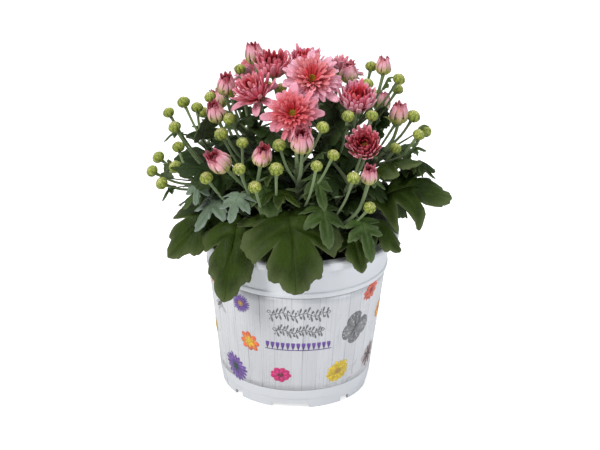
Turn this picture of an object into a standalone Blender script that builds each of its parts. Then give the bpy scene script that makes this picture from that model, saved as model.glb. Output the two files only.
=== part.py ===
"""A potted chrysanthemum: a printed plastic pot, its potting mix, ten branching stems, and the leaves, buds and
blooms that they carry.

Metres, +Z up. The origin is the centre of the pot's foot, on the surface that it stands on, and -Y is the front.
Places and sizes on the plant are written in millimetres at the design size: (x, y) from the pot's axis, and the
height above its rim. PLANT_UNIT turns them into metres, so the plant grows and shrinks with the pot's rim.
"""

import math

import bmesh
import bpy
from mathutils import Matrix, Vector

# ---- Driving dimensions ----
POT_HEIGHT = 0.115
BASE_RADIUS = 0.052
LIP_OVERHANG = 0.0057       # of the lip past the wall
WALL = 0.0015
WALL_FLARE = 0.108          # growth of the wall's radius for each unit of height
HEADSPACE = 0.015           # watering room from the potting mix up to the rim
CLEARANCE = 0.0003          # gap between pieces that touch

# ---- Pot ----
POT_SIDES = 40
LIP_DEPTH = 0.005
LIP_ROUND = 0.0012
STEP_HEIGHT = 0.0077        # the line where the foot meets the wall
STEP_DEPTH = 0.0007
BAND_DROP = 0.023           # from the rim down to the lower edge of the plain top band
RIDGE_HEIGHT = 0.0046
RIDGE_PROUD = 0.0010
FLOOR_HEIGHT = 0.0045       # underside of the floor above the table
FOOT_THICKNESS = 0.0024
NOTCH_HEIGHT = 0.0036
WIDE_NOTCH_DEGREES = 28.0
NARROW_NOTCH_DEGREES = 8.0
NOTCH_PHASE_DEGREES = -93.0
NOTCH_PAIRS = 4
DRAIN_HOLES = 6
DRAIN_RADIUS = 0.004
DRAIN_CIRCLE = 0.036

# ---- Printed label ----
LABEL_THICKNESS = 0.0004
LABEL_BOTTOM = 0.0145

# ---- Potting mix ----
MIX_SIDES = 24
MIX_MOUND = 0.003

# ---- Stems ----
STEM_RADIUS = 0.0022
SHOOT_RADIUS = 0.0015
PEDUNCLE_RADIUS = 0.0010
STEM_DEPTH = 0.014          # how far a stem goes down into the mix
BUD_RADIUS = 0.0045
BUD_FLATNESS = 0.86         # a green bud's height against its width
SHOOT_STEP = 0.016          # distance between a shoot's sections
STALK_STEP = 0.024          # and between a stalk's
NECK = 0.0015               # straight end of a stalk, below what it carries
CAP_WELD = 0.000005         # joins a tube's caps to its side
CLIMB = 0.9                 # a branch leaves its shoot this share of its reach below its tip

# ---- Leaves ----
LEAF_THICKNESS = 0.0008
PETIOLE_WIDTH = 0.0022
SIDE_LINES = 2              # mesh columns across a leaf
VEIN_DEGREES = 38.0         # how far the side lobes lean forward



def wall_radius(z):
    """Radius of the pot wall's outside at a height."""
    return BASE_RADIUS + STEP_DEPTH + WALL_FLARE * (z - STEP_HEIGHT)


RIM_Z = POT_HEIGHT
MIX_TOP = RIM_Z - HEADSPACE
LIP_RADIUS = wall_radius(POT_HEIGHT) + LIP_OVERHANG
DESIGN_LIP_RADIUS = 0.070   # of the pot that the places on the plant were chosen for
PLANT_UNIT = 0.001 * LIP_RADIUS / DESIGN_LIP_RADIUS


def planted(x, y, height):
    """A place on the plant, from millimetres at the design size."""
    return Vector((x, y, height)) * PLANT_UNIT + Vector((0, 0, RIM_Z))


def facing(heading, tilt):
    """Unit vector for a plan heading (0 is +X, -90 the front) and a tilt above the horizon, in degrees."""
    h, t = math.radians(heading), math.radians(tilt)
    return Vector((math.cos(h) * math.cos(t), math.sin(h) * math.cos(t), math.sin(t)))


# ---- Scene and small tools ----
for old in list(bpy.data.objects):
    bpy.data.objects.remove(old)

plant_collection = bpy.data.collections.new("potted_chrysanthemum")
cutter_collection = bpy.data.collections.new("cutters")
cutter_collection.hide_render = True
for collection in (plant_collection, cutter_collection):
    bpy.context.scene.collection.children.link(collection)


def material(name, colour, roughness):
    made = bpy.data.materials.new(name)
    made.use_nodes = True
    shader = made.node_tree.nodes["Principled BSDF"]
    shader.inputs["Base Color"].default_value = (*colour, 1.0)
    shader.inputs["Roughness"].default_value = roughness
    shader.inputs["Metallic"].default_value = 0.0
    return made


WHITE_PLASTIC = material("white_plastic", (0.80, 0.82, 0.86), 0.35)
LABEL_FILM = material("label_film", (0.74, 0.75, 0.78), 0.30)
PEAT = material("peat", (0.035, 0.022, 0.014), 0.95)
GREEN_STEM = material("green_stem", (0.22, 0.34, 0.12), 0.55)
LEAF_GREEN = material("leaf_green", (0.055, 0.12, 0.035), 0.50)
PETAL_PINK = material("petal_pink", (0.72, 0.16, 0.24), 0.60)
BUD_PINK = material("bud_pink", (0.70, 0.30, 0.34), 0.60)


def add(name, mesh, finish, collection=plant_collection):
    made = bpy.data.objects.new(name, mesh)
    collection.objects.link(made)
    if finish:
        mesh.materials.append(finish)
    return made


def turned(name, profile, sides, finish, collection=plant_collection):
    """A solid of revolution about Z. The profile of (radius, height) points runs down the outside."""
    mesh = bpy.data.meshes.new(name)
    edges = [(i, i + 1) for i in range(len(profile) - 1)]
    mesh.from_pydata([(r, 0, z) for r, z in profile], edges, [])
    made = add(name, mesh, finish, collection)
    screw = made.modifiers.new("turn", "SCREW")
    screw.angle = math.tau
    screw.steps = screw.render_steps = sides
    screw.use_merge_vertices = True
    screw.merge_threshold = 0.00002
    screw.use_normal_calculate = True
    return made


def as_mesh(shape, weld=0.0):
    """The shape as its modifiers leave it, in a plain mesh object of the same name, its points welded if asked."""
    bpy.context.view_layer.update()
    graph = bpy.context.evaluated_depsgraph_get()
    mesh = bpy.data.meshes.new_from_object(shape.evaluated_get(graph))
    if weld:
        work = bmesh.new()
        work.from_mesh(mesh)
        bmesh.ops.remove_doubles(work, verts=work.verts, dist=weld)
        work.to_mesh(mesh)
        work.free()
    name, world = shape.name, shape.matrix_world.copy()
    collection = shape.users_collection[0]
    bpy.data.objects.remove(shape)
    made = bpy.data.objects.new(name, mesh)
    made.matrix_world = world
    collection.objects.link(made)
    return made


def combined(body, others, operation, solver="EXACT"):
    """body after a Boolean with each of the others, which are used up."""
    for other in others:
        change = body.modifiers.new(operation.lower(), "BOOLEAN")
        change.operation = operation
        change.solver = solver
        change.object = other
    made = as_mesh(body)
    for other in others:
        bpy.data.objects.remove(other)
    return made


def smooth(shape, degrees=40):
    shape.data.shade_smooth()
    shape.data.set_sharp_from_angle(angle=math.radians(degrees))


# ---- Pot: one moulding, turned, with its drain holes and foot notches cut ----
LABEL_TOP = POT_HEIGHT - BAND_DROP - RIDGE_HEIGHT
LABEL_RECESS = LABEL_THICKNESS + CLEARANCE


def inner_radius(z):
    """Radius of the wall's inside: one wall inside the bottom of the label's recess."""
    return wall_radius(z) - LABEL_RECESS - WALL


def pot():
    floor_top = FLOOR_HEIGHT + WALL
    band_z = POT_HEIGHT - BAND_DROP
    lip_z = POT_HEIGHT - LIP_DEPTH
    profile = [
        (0, floor_top),
        (inner_radius(floor_top), floor_top),
        (inner_radius(POT_HEIGHT), POT_HEIGHT),
        (LIP_RADIUS - LIP_ROUND, POT_HEIGHT),
        (LIP_RADIUS, POT_HEIGHT - LIP_ROUND),
        (LIP_RADIUS - 0.0003, lip_z),
        (LIP_RADIUS - WALL, lip_z),
        (LIP_RADIUS - WALL, POT_HEIGHT - WALL * 1.4),
        (wall_radius(POT_HEIGHT), POT_HEIGHT - WALL * 1.8),
        (wall_radius(band_z), band_z),
        (wall_radius(band_z) + RIDGE_PROUD, band_z - 0.0006),
        (wall_radius(LABEL_TOP) + RIDGE_PROUD, LABEL_TOP + 0.0012),
        (wall_radius(LABEL_TOP), LABEL_TOP),
        (wall_radius(LABEL_TOP) - LABEL_RECESS, LABEL_TOP),
        (wall_radius(LABEL_BOTTOM) - LABEL_RECESS, LABEL_BOTTOM),
        (wall_radius(LABEL_BOTTOM), LABEL_BOTTOM),
        (wall_radius(STEP_HEIGHT), STEP_HEIGHT),
        (BASE_RADIUS + STEP_DEPTH * 0.3, STEP_HEIGHT - 0.0004),
        (BASE_RADIUS - STEP_DEPTH, 0),
        (BASE_RADIUS - FOOT_THICKNESS, 0),
        (BASE_RADIUS - FOOT_THICKNESS, FLOOR_HEIGHT),
        (0, FLOOR_HEIGHT),
    ]
    body = as_mesh(turned("pot", profile, POT_SIDES, WHITE_PLASTIC))
    cutters = []
    for pair in range(NOTCH_PAIRS):
        quarter = NOTCH_PHASE_DEGREES + pair * 360 / NOTCH_PAIRS
        for width, turn in ((WIDE_NOTCH_DEGREES, 0), (NARROW_NOTCH_DEGREES, 180 / NOTCH_PAIRS)):
            cutters.append(notch_cutter(width, quarter + turn))
    for hole in range(DRAIN_HOLES):
        cutters.append(round_cutter(DRAIN_RADIUS, DRAIN_CIRCLE, 360 * hole / DRAIN_HOLES))
    made = combined(body, cutters, "DIFFERENCE")
    smooth(made, 30)
    return made


def notch_cutter(width, heading):
    """A block across the foot ring, as wide as the notch's angle at the foot."""
    mesh = bpy.data.meshes.new("notch")
    work = bmesh.new()
    bmesh.ops.create_cube(work, size=1)
    work.to_mesh(mesh)
    work.free()
    block = add("notch", mesh, None, cutter_collection)
    chord = 2 * BASE_RADIUS * math.sin(math.radians(width / 2))
    turn = Matrix.Rotation(math.radians(heading), 4, "Z")
    place = Matrix.Translation((BASE_RADIUS - FOOT_THICKNESS / 2, 0, 0))
    block.data.transform(turn @ place @ Matrix.Diagonal((FOOT_THICKNESS * 5, chord, NOTCH_HEIGHT * 2, 1)))
    return block


def round_cutter(radius, circle, heading):
    mesh = bpy.data.meshes.new("drain")
    work = bmesh.new()
    bmesh.ops.create_cone(work, cap_ends=True, segments=12, radius1=radius, radius2=radius, depth=WALL * 6)
    work.to_mesh(mesh)
    work.free()
    drill = add("drain", mesh, None, cutter_collection)
    drill.location = facing(heading, 0) * circle + Vector((0, 0, FLOOR_HEIGHT))
    bpy.context.view_layer.update()
    return drill


def printed_label():
    """The printed film that lines the recess in the pot's wall."""
    top, bottom = LABEL_TOP - CLEARANCE, LABEL_BOTTOM + CLEARANCE
    outside = [(wall_radius(z), z) for z in (top, bottom)]
    inside = [(wall_radius(z) - LABEL_THICKNESS, z) for z in (bottom, top)]
    made = as_mesh(turned("printed_label", outside + inside + outside[:1], POT_SIDES, LABEL_FILM))
    smooth(made)


# ---- Stems: every shoot is a smooth line through points picked on the plant ----
def smooth_line(points):
    """Points every SHOOT_STEP along a Catmull-Rom curve through the given ones."""
    ends = [2 * points[0] - points[1], *points, 2 * points[-1] - points[-2]]
    line = [points[0]]
    for a, b, c, d in zip(ends, ends[1:], ends[2:], ends[3:]):
        pieces = max(1, round((c - b).length / SHOOT_STEP))
        for i in range(1, pieces + 1):
            t = i / pieces
            line.append(0.5 * (2 * b + (c - a) * t + (2 * a - 5 * b + 4 * c - d) * t**2
                               + (3 * b - a - 3 * c + d) * t**3))
    return line


def tube(name, points, radius, end_radius):
    """A closed tube along the points, thinning evenly to its end."""
    curve = bpy.data.curves.new(name, "CURVE")
    curve.dimensions = "3D"
    curve.bevel_depth = 1.0
    curve.bevel_resolution = 1
    curve.use_fill_caps = True
    spline = curve.splines.new("POLY")
    spline.points.add(len(points) - 1)
    for i, (bead, point) in enumerate(zip(spline.points, points)):
        bead.co = (*point, 1)
        bead.radius = radius + (end_radius - radius) * i / (len(points) - 1)
    made = bpy.data.objects.new(name, curve)
    plant_collection.objects.link(made)
    return as_mesh(made, CAP_WELD)


def along(line, height):
    """The place on a rising line at a height above the rim, the line's direction there, and its share of the way."""
    height = planted(0, 0, height).z
    for i, (low, high) in enumerate(zip(line, line[1:])):
        if low.z <= height <= high.z:
            share = (height - low.z) / (high.z - low.z)
            return low.lerp(high, share), (high - low).normalized(), (i + share) / (len(line) - 1)
    return line[-1].copy(), (line[-1] - line[-2]).normalized(), 1.0


def leave_point(line, tip):
    """The highest place on a line from which a branch climbs to its tip."""
    for point in reversed(line[2:]):
        reach = (tip.xy - point.xy).length
        if tip.z - point.z >= CLIMB * reach + 2 * SHOOT_RADIUS:
            return point
    return line[2]


def branch(line, tip, direction):
    """A stalk's points, from its shoot to its tip, where it runs along direction."""
    start = leave_point(line, tip)
    span = (tip - start).length
    bend = tip - direction * span * 0.45
    pieces = max(2, round(span / STALK_STEP))
    places = [i / pieces for i in range(pieces + 1)]
    return [start.lerp(bend, t).lerp(bend.lerp(tip, t), t) for t in places]


def green_bud(centre, direction):
    """A closed bud: a ball, flatter along its stalk."""
    mesh = bpy.data.meshes.new("green_bud")
    work = bmesh.new()
    bmesh.ops.create_uvsphere(work, u_segments=6, v_segments=4, radius=BUD_RADIUS)
    work.to_mesh(mesh)
    work.free()
    turn = direction.to_track_quat("Z", "Y").to_matrix().to_4x4()
    mesh.transform(Matrix.Translation(centre) @ turn @ Matrix.Diagonal((1, 1, BUD_FLATNESS, 1)))
    return add("green_bud", mesh, None)


# Each stem: where it stands, then its shoots as (x, y, height above the rim); the first rises from the mix and the
# others leave it. Green buds are (shoot, x, y, height). Young leaves, which are one piece with their shoot, are
# (shoot, height of the foot, base of the blade, tip, arch, width, blade).
STEMS = {
    "stem_crown": {
        "shoots": [[(2, 2, 4), (1, 3, 40), (-3, 3, 72)]],
        "buds": [(0, -12, -7, 97), (0, 20, 16, 98)],
        "leaves": [(0, 52, (2, 18, 60), (6, 36, 60), 4, 22, "lobed"), (0, 66, (8, 8, 76), (12, 22, 88), 2, 14, "lobed")],
    },
    "stem_crown_left": {
        "shoots": [[(-12, 8, 4), (-20, 8, 32), (-32, 2, 62)]],
        "buds": [(0, -40, 10, 104), (0, -58, -6, 90), (0, -45, -20, 80), (0, -50, -25, 71)],
        "leaves": [(0, 54, (-42, 14, 64), (-52, 29, 72), 2, 16, "lobed"), (0, 44, (-22, 22, 52), (-24, 42, 56), 3, 22, "lobed")],
    },
    "stem_crown_right": {
        "shoots": [[(14, 8, 4), (23, 8, 34), (36, 5, 68)]],
        "buds": [(0, 47, 22, 104), (0, 64, 2, 102), (0, 44, 0, 99), (0, 64, 12, 92), (0, 31, -34, 88)],
        "leaves": [(0, 62, (48, -2, 70), (56, -4, 86), 1, 18, "lobed"), (0, 48, (40, 18, 56), (56, 26, 60), 3, 20, "lobed")],
    },
    "stem_left": {
        "shoots": [
            [(-21, -2, 4), (-32, -2, 22), (-52, 2, 42), (-66, 6, 58)],
            [(-34, -2, 24), (-56, -12, 34), (-72, -16, 38)],
        ],
        "buds": [
            (0, -87, 10, 73), (0, -78, 20, 77), (0, -69, 12, 76), (0, -82, -2, 67),
            (1, -92, -8, 48), (1, -95, -20, 43), (1, -88, -28, 38), (1, -80, -20, 46), (1, -80, -6, 54),
        ],
        "leaves": [(1, 34, (-62, -24, 36), (-75, -34, 24), 2, 20, "lobed"), (0, 54, (-60, 13, 60), (-61, 15, 75), 1, 12, "lobed")],
    },
    "stem_right": {
        "shoots": [[(22, -3, 4), (32, -6, 24), (46, -8, 44), (57, -9, 58)]],
        "buds": [(0, 74, -9, 80), (0, 77, -19, 71), (0, 82, -6, 69), (0, 57, 10, 70), (0, 62, -26, 64)],
        "leaves": [(0, 50, (64, -2, 54), (80, 6, 58), 2, 16, "lobed")],
    },
    "stem_front_left": {
        "shoots": [[(-14, -16, 4), (-22, -24, 24), (-36, -38, 45)]],
        "buds": [(0, -36, -50, 74), (0, -37, -62, 61), (0, -14, -66, 63), (0, -27, -69, 52), (0, -58, -50, 50)],
        "leaves": [(0, 38, (-24, -42, 44), (-16, -58, 30), 4, 28, "broad")],
    },
    "stem_front": {
        "shoots": [[(1, -20, 4), (0, -30, 30), (-1, -44, 58)]],
        "buds": [(0, -12, -58, 76), (0, 14, -57, 88), (0, 11, -75, 69), (0, 21, -66, 73)],
        "leaves": [(0, 42, (10, -46, 54), (17, -62, 36), 3, 20, "lobed"), (0, 50, (8, -38, 60), (20, -40, 68), 2, 16, "lobed")],
    },
    "stem_front_right": {
        "shoots": [[(15, -15, 4), (24, -26, 26), (34, -42, 46)]],
        "buds": [(0, 34, -76, 62), (0, 46, -34, 88)],
        "leaves": [(0, 40, (44, -42, 50), (56, -48, 46), 2, 14, "lobed")],
    },
    "stem_back_left": {
        "shoots": [[(-10, 22, 4), (-22, 36, 26), (-38, 50, 48)]],
        "buds": [(0, -48, 46, 76), (0, -66, 44, 62), (0, -44, 74, 58), (0, -24, 68, 74)],
        "leaves": [(0, 40, (-44, 34, 46), (-60, 26, 50), 2, 18, "lobed")],
    },
    "stem_back_right": {
        "shoots": [[(12, 21, 4), (20, 34, 28), (32, 48, 52)]],
        "buds": [(0, 50, 44, 78), (0, 42, 68, 68), (0, 66, 38, 60), (0, 16, 70, 72)],
        "leaves": [(0, 42, (38, 36, 50), (54, 28, 54), 2, 18, "lobed")],
    },
}

# Blooms and coloured buds: name, kind, stem, (x, y, height) of the base, (heading, tilt) it faces, radius in mm.
HEADS = (
    ("bloom_crown", "open", "stem_crown", (7, -10, 103), (-84, 48), 21),
    ("bloom_crown_back", "half", "stem_crown", (3, 24, 104), (-80, 80), 12),
    ("bloom_front", "open", "stem_front", (-4, -38, 91), (-94, 33), 18),
    ("bloom_crown_left", "half", "stem_crown", (-18, 5, 104), (-100, 80), 12),
    ("bloom_left", "open", "stem_crown_left", (-27, -13, 94), (-132, 42), 15),
    ("bloom_right", "half", "stem_crown_right", (37, -17, 90), (-88, 66), 11),
    ("bloom_front_right", "half", "stem_front_right", (43, -40, 70), (-102, 42), 10),
    ("bud_crown_left", "bud", "stem_crown_left", (-30, 20, 108), (170, 80), 6),
    ("bud_left_high", "bud", "stem_crown_left", (-49, 2, 92), (-100, 82), 6),
    ("bud_left", "bud", "stem_crown_left", (-53, -13, 78), (-160, 72), 6),
    ("bud_front_left", "bud", "stem_front_left", (-47, -45, 57), (-142, 48), 7),
    ("bud_front", "bud", "stem_front_left", (-24, -56, 65), (-72, 66), 6),
    ("bud_front_centre", "bud", "stem_front", (2, -62, 76), (-90, 72), 7),
    ("bud_crown_right", "bud", "stem_crown_right", (32, 12, 99), (-80, 84), 6),
    ("bud_right_high", "bud", "stem_crown_right", (55, 14, 104), (60, 82), 5),
    ("bud_right", "bud", "stem_right", (65, -9, 78), (-60, 84), 6),
    ("bud_front_right", "bud", "stem_front_right", (44, -68, 58), (-70, 74), 5),
    ("bloom_back_left", "open", "stem_back_left", (-30, 46, 88), (118, 46), 17),
    ("bloom_back_right", "open", "stem_back_right", (26, 42, 92), (66, 50), 16),
    ("bloom_back", "half", "stem_back_right", (2, 54, 82), (95, 60), 11),
    ("bud_back_left", "bud", "stem_back_left", (-56, 62, 62), (140, 66), 6),
    ("bud_back_right", "bud", "stem_back_right", (56, 56, 64), (40, 70), 6),
)

# A head's outline as shares of its radius, from the top of its axis down its outside to its stalk.
HEAD_OUTLINES = {
    "open": ((0, 0.52), (0.45, 0.58), (0.85, 0.50), (1.0, 0.36), (0.62, 0.14), (0.30, 0.06), (0.14, 0), (0, 0)),
    "half": ((0, 1.35), (0.55, 1.42), (0.95, 1.30), (1.0, 0.85), (0.80, 0.36), (0.45, 0.08), (0.20, 0), (0, 0)),
    "bud": ((0, 2.40), (0.50, 2.25), (0.86, 1.50), (1.0, 0.90), (0.86, 0.35), (0.50, 0.05), (0.30, 0), (0, 0)),
}
HEAD_SIDES = {"open": 14, "half": 10, "bud": 8}


def stem_lines(name):
    """The lines that a stem's shoots follow. The first starts straight up, down in the mix."""
    lines = []
    for shoot in STEMS[name]["shoots"]:
        points = [planted(*place) for place in shoot]
        if not lines:
            foot = Vector((points[0].x, points[0].y, MIX_TOP - STEM_DEPTH))
            points = [foot, Vector((foot.x, foot.y, MIX_TOP + 2 * STEM_RADIUS)), *points]
        else:
            points[0], _, _ = along(lines[0], shoot[0][2])
        lines.append(smooth_line(points))
    return lines


def stem(name):
    lines = stem_lines(name)
    pieces = []
    for order, line in enumerate(lines):
        start = SHOOT_RADIUS if order else STEM_RADIUS
        pieces.append(tube(name, line, start, SHOOT_RADIUS))
    for shoot, x, y, height in STEMS[name]["buds"]:
        tip = planted(x, y, height)
        start = leave_point(lines[shoot], tip)
        outward = ((tip - start).normalized() + Vector((0, 0, 0.6))).normalized()
        stalk = branch(lines[shoot], tip, outward)
        pieces.append(tube("stalk", stalk, PEDUNCLE_RADIUS, PEDUNCLE_RADIUS))
        pieces.append(green_bud(tip + outward * BUD_RADIUS * 0.6, outward))
    for _, _, carrier, place, way, _ in HEADS:
        if carrier == name:
            direction = facing(*way)
            top = planted(*place) - direction * CLEARANCE
            stalk = branch(lines[0], top - direction * NECK, direction) + [top]
            pieces.append(tube("stalk", stalk, PEDUNCLE_RADIUS * 1.3, PEDUNCLE_RADIUS * 1.2))
    for shoot, height, base, tip, arch, width, blade in STEMS[name]["leaves"]:
        young = leaf_shape("young", lines[shoot], height, YOUNG_SINK, base, tip, arch, width, 0, blade)
        pieces.append(as_mesh(young))
    # EXACT leaves open edges where many tubes leave one place.
    made = combined(pieces[0], pieces[1:], "UNION", "MANIFOLD")
    made.name = name
    made.data.materials.clear()
    made.data.materials.append(GREEN_STEM)
    smooth(made)


def head(name, kind, _, place, way, radius):
    """A bloom or a coloured bud, turned about its own axis."""
    size = radius * PLANT_UNIT
    profile = [(r * size, z * size) for r, z in HEAD_OUTLINES[kind]]
    finish = BUD_PINK if kind == "bud" else PETAL_PINK
    made = turned(name, profile, HEAD_SIDES[kind], finish)
    made.location = planted(*place)
    made.rotation_mode = "QUATERNION"
    made.rotation_quaternion = facing(*way).to_track_quat("Z", "Y")
    made.data.shade_smooth()


def potting_mix():
    """The mix fills the pot up to the headspace, slightly mounded, with a socket for each stem."""
    floor = FLOOR_HEIGHT + WALL + CLEARANCE
    edge_top = MIX_TOP - MIX_MOUND
    profile = [
        (0, MIX_TOP),
        (inner_radius(MIX_TOP) * 0.6, MIX_TOP),
        (inner_radius(edge_top) - CLEARANCE, edge_top),
        (inner_radius(floor) - CLEARANCE, floor),
        (0, floor),
    ]
    body = as_mesh(turned("potting_mix", profile, MIX_SIDES, PEAT))
    sockets = []
    for name in STEMS:
        foot = stem_lines(name)[0][0]
        depth = foot.z - CLEARANCE
        line = [Vector((foot.x, foot.y, depth)), Vector((foot.x, foot.y, MIX_TOP + STEM_DEPTH))]
        sockets.append(tube("socket", line, STEM_RADIUS + CLEARANCE, STEM_RADIUS + CLEARANCE))
    made = combined(body, sockets, "DIFFERENCE")
    smooth(made)


# ---- Leaves ----
# Blade outlines: half-width along the blade, as shares of the leaf's half-width, at shares of the blade's length.
# The dips are the gaps between lobes.
BLADES = {
    "broad": ((0, 0.10), (0.14, 0.62), (0.28, 1.0), (0.42, 0.52), (0.56, 0.96), (0.72, 0.80), (0.88, 0.46), (1, 0.08)),
    "lobed": ((0, 0.08), (0.14, 0.50), (0.30, 1.0), (0.44, 0.36), (0.60, 0.80), (0.74, 0.30), (0.88, 0.30), (1, 0.05)),
}

# name, stem, height of the foot on the stem, base of the blade, tip, arch, width, roll towards +Y, blade
LEAVES = (
    ("leaf_front", "stem_front", 12, (-6, -49, 30), (0, -86, -9), 9, 62, 0, "broad"),
    ("leaf_front_left", "stem_front_left", 5, (-36, -42, 21), (-44, -80, -22), 11, 44, 0, "broad"),
    ("leaf_left", "stem_left", 10, (-44, -24, 22), (-84, -40, -8), 6, 44, 0, "broad"),
    ("leaf_right", "stem_right", 20, (50, -29, 32), (100, -23, 31), 8, 62, 25, "broad"),
    ("leaf_right_low", "stem_right", 8, (44, -34, 18), (70, -52, -4), 4, 38, 0, "broad"),
    ("leaf_front_right_low", "stem_front_right", -2, (36, -42, 12), (46, -72, -8), 4, 26, 0, "broad"),
    ("leaf_front_right", "stem_front_right", 26, (40, -50, 26), (48, -69, 2), 4, 26, 0, "broad"),
    ("leaf_front_light", "stem_front", 26, (14, -48, 34), (21, -71, 14), 4, 30, 0, "lobed"),
    ("leaf_front_left_pale", "stem_front_left", 36, (-37, -50, 42), (-43, -66, 28), 3, 24, 0, "lobed"),
    ("leaf_left_pale", "stem_left", 17, (-48, -28, 30), (-67, -48, 15), 4, 30, 0, "lobed"),
    ("leaf_left_high", "stem_left", 14, (-42, 22, 27), (-84, 24, 38), 6, 40, 20, "broad"),
    ("leaf_crown_front", "stem_crown", 54, (-8, -10, 66), (-24, -28, 66), 5, 28, 0, "broad"),
    ("leaf_crown_right", "stem_crown_right", 50, (22, -2, 72), (26, -8, 94), 2, 20, 0, "broad"),
    ("leaf_right_toothed", "stem_right", 42, (68, -10, 48), (91, -12, 46), 4, 28, 0, "lobed"),
    ("leaf_back", "stem_back_right", 8, (10, 50, 27), (6, 87, -9), 8, 54, 0, "broad"),
    ("leaf_back_left", "stem_back_left", 5, (-34, 46, 16), (-50, 74, -14), 5, 44, 0, "broad"),
    ("leaf_back_right", "stem_back_right", -3, (40, 38, 20), (61, 62, -8), 5, 46, 0, "broad"),
    ("leaf_left_back", "stem_left", 12, (-48, 22, 16), (-82, 42, -2), 5, 46, 0, "broad"),
    ("leaf_right_back", "stem_crown_right", 10, (46, 18, 22), (86, 26, 0), 6, 50, 0, "broad"),
    ("leaf_back_mid", "stem_back_left", 28, (-16, 52, 40), (-12, 80, 24), 5, 36, 0, "lobed"),
    ("leaf_back_left_high", "stem_back_left", 24, (-46, 48, 34), (-70, 64, 24), 5, 36, 0, "lobed"),
    ("leaf_back_right_high", "stem_back_right", 26, (42, 54, 38), (58, 76, 24), 5, 36, 0, "lobed"),
    ("leaf_right_high", "stem_right", 40, (56, 16, 46), (78, 32, 38), 5, 36, 0, "lobed"),
)
LEAF_SEAT = CLEARANCE + LEAF_THICKNESS * 0.8    # from a shoot's side out to the middle of a petiole's end
YOUNG_SINK = -SHOOT_RADIUS / 2                  # a young leaf's petiole ends inside its shoot, which it is part of


def half_width(blade, share):
    """A blade's half-width at a share of its length, from its outline."""
    for (s0, w0), (s1, w1) in zip(BLADES[blade], BLADES[blade][1:]):
        if s0 <= share <= s1:
            return w0 + (w1 - w0) * (share - s0) / (s1 - s0)
    return BLADES[blade][-1][1]


def curve_at(points, t):
    """Place and direction on a Catmull-Rom curve through the points, at t spans from its start."""
    i = min(max(int(t), 0), len(points) - 2)
    t -= i
    b, c = points[i], points[i + 1]
    a = points[i - 1] if i else 2 * b - c
    d = points[i + 2] if i + 2 < len(points) else 2 * c - b
    q, w, k = 2 * a - 5 * b + 4 * c - d, 3 * b - a - 3 * c + d, c - a
    return 0.5 * (2 * b + k * t + q * t**2 + w * t**3), (k + 2 * q * t + 3 * w * t**2).normalized()


def leaf_shape(name, line, height, off, base, tip, arch, width, roll, blade):
    """A petiole from the shoot's side to the base of the blade, and the blade from there over its arch to its tip."""
    base, tip = planted(*base), planted(*tip)
    width *= PLANT_UNIT
    foot, rising, share = along(line, height)
    away = (base - foot).normalized()
    shoot_radius = STEM_RADIUS + (SHOOT_RADIUS - STEM_RADIUS) * share
    foot += (away - rising * away.dot(rising)).normalized() * (shoot_radius + off)
    midrib = [foot, base, base.lerp(tip, 0.5) + Vector((0, 0, arch * PLANT_UNIT)), tip]
    side = Vector((base.y - tip.y, tip.x - base.x, 0)).normalized()
    lean, turn = math.radians(VEIN_DEGREES), math.radians(roll)
    if side.y < 0:
        turn = -turn
    half_span = (tip - base).length / 2
    stations = [-1, -0.5] + [2 * share for share, _ in BLADES[blade]]
    mesh = bpy.data.meshes.new(name)
    work = bmesh.new()
    bmesh.ops.create_grid(work, x_segments=len(stations) - 1, y_segments=SIDE_LINES, size=1)
    for vertex in work.verts:
        station = stations[round((vertex.co.x + 1) / 2 * (len(stations) - 1))]
        across, half = vertex.co.y, PETIOLE_WIDTH / 2
        if station > 0:
            half = max(half, width / 2 * half_width(blade, station / 2))
        forward = abs(across) * half * math.tan(lean) * max(0, 1 - max(0, station / 2) ** 2)
        middle, direction = curve_at(midrib, 1 + station + (forward / half_span if station > 0 else 0))
        swing = turn * min(1, max(0, station))
        normal = direction.cross(side)
        sideways = side * math.cos(swing) + normal * math.sin(swing)
        sag = (across * half) ** 2 / width * 0.6
        vertex.co = middle + sideways * across * half - direction.cross(sideways) * sag
    bmesh.ops.recalc_face_normals(work, faces=work.faces)
    work.to_mesh(mesh)
    work.free()
    made = add(name, mesh, LEAF_GREEN)
    shell = made.modifiers.new("thickness", "SOLIDIFY")
    shell.thickness = LEAF_THICKNESS
    shell.offset = 0
    mesh.shade_smooth()
    return made


def leaf(name, carrier, *shape):
    height, *rest = shape
    leaf_shape(name, stem_lines(carrier)[0], height, LEAF_SEAT, *rest)


pot()
printed_label()
potting_mix()
for stem_name in STEMS:
    stem(stem_name)
for row in HEADS:
    head(*row)
for row in LEAVES:
    leaf(*row)
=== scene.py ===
"""A potted chrysanthemum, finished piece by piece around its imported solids.

Metres, +Z up, and -Y is the front. The order is that of the real plant: the pot and its printed sleeve, the
potting mix, the stems with their green buds, the leaves, and the coloured buds and blooms.
"""

import math
import random

import bpy
from mathutils import Matrix, Vector, noise


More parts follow.
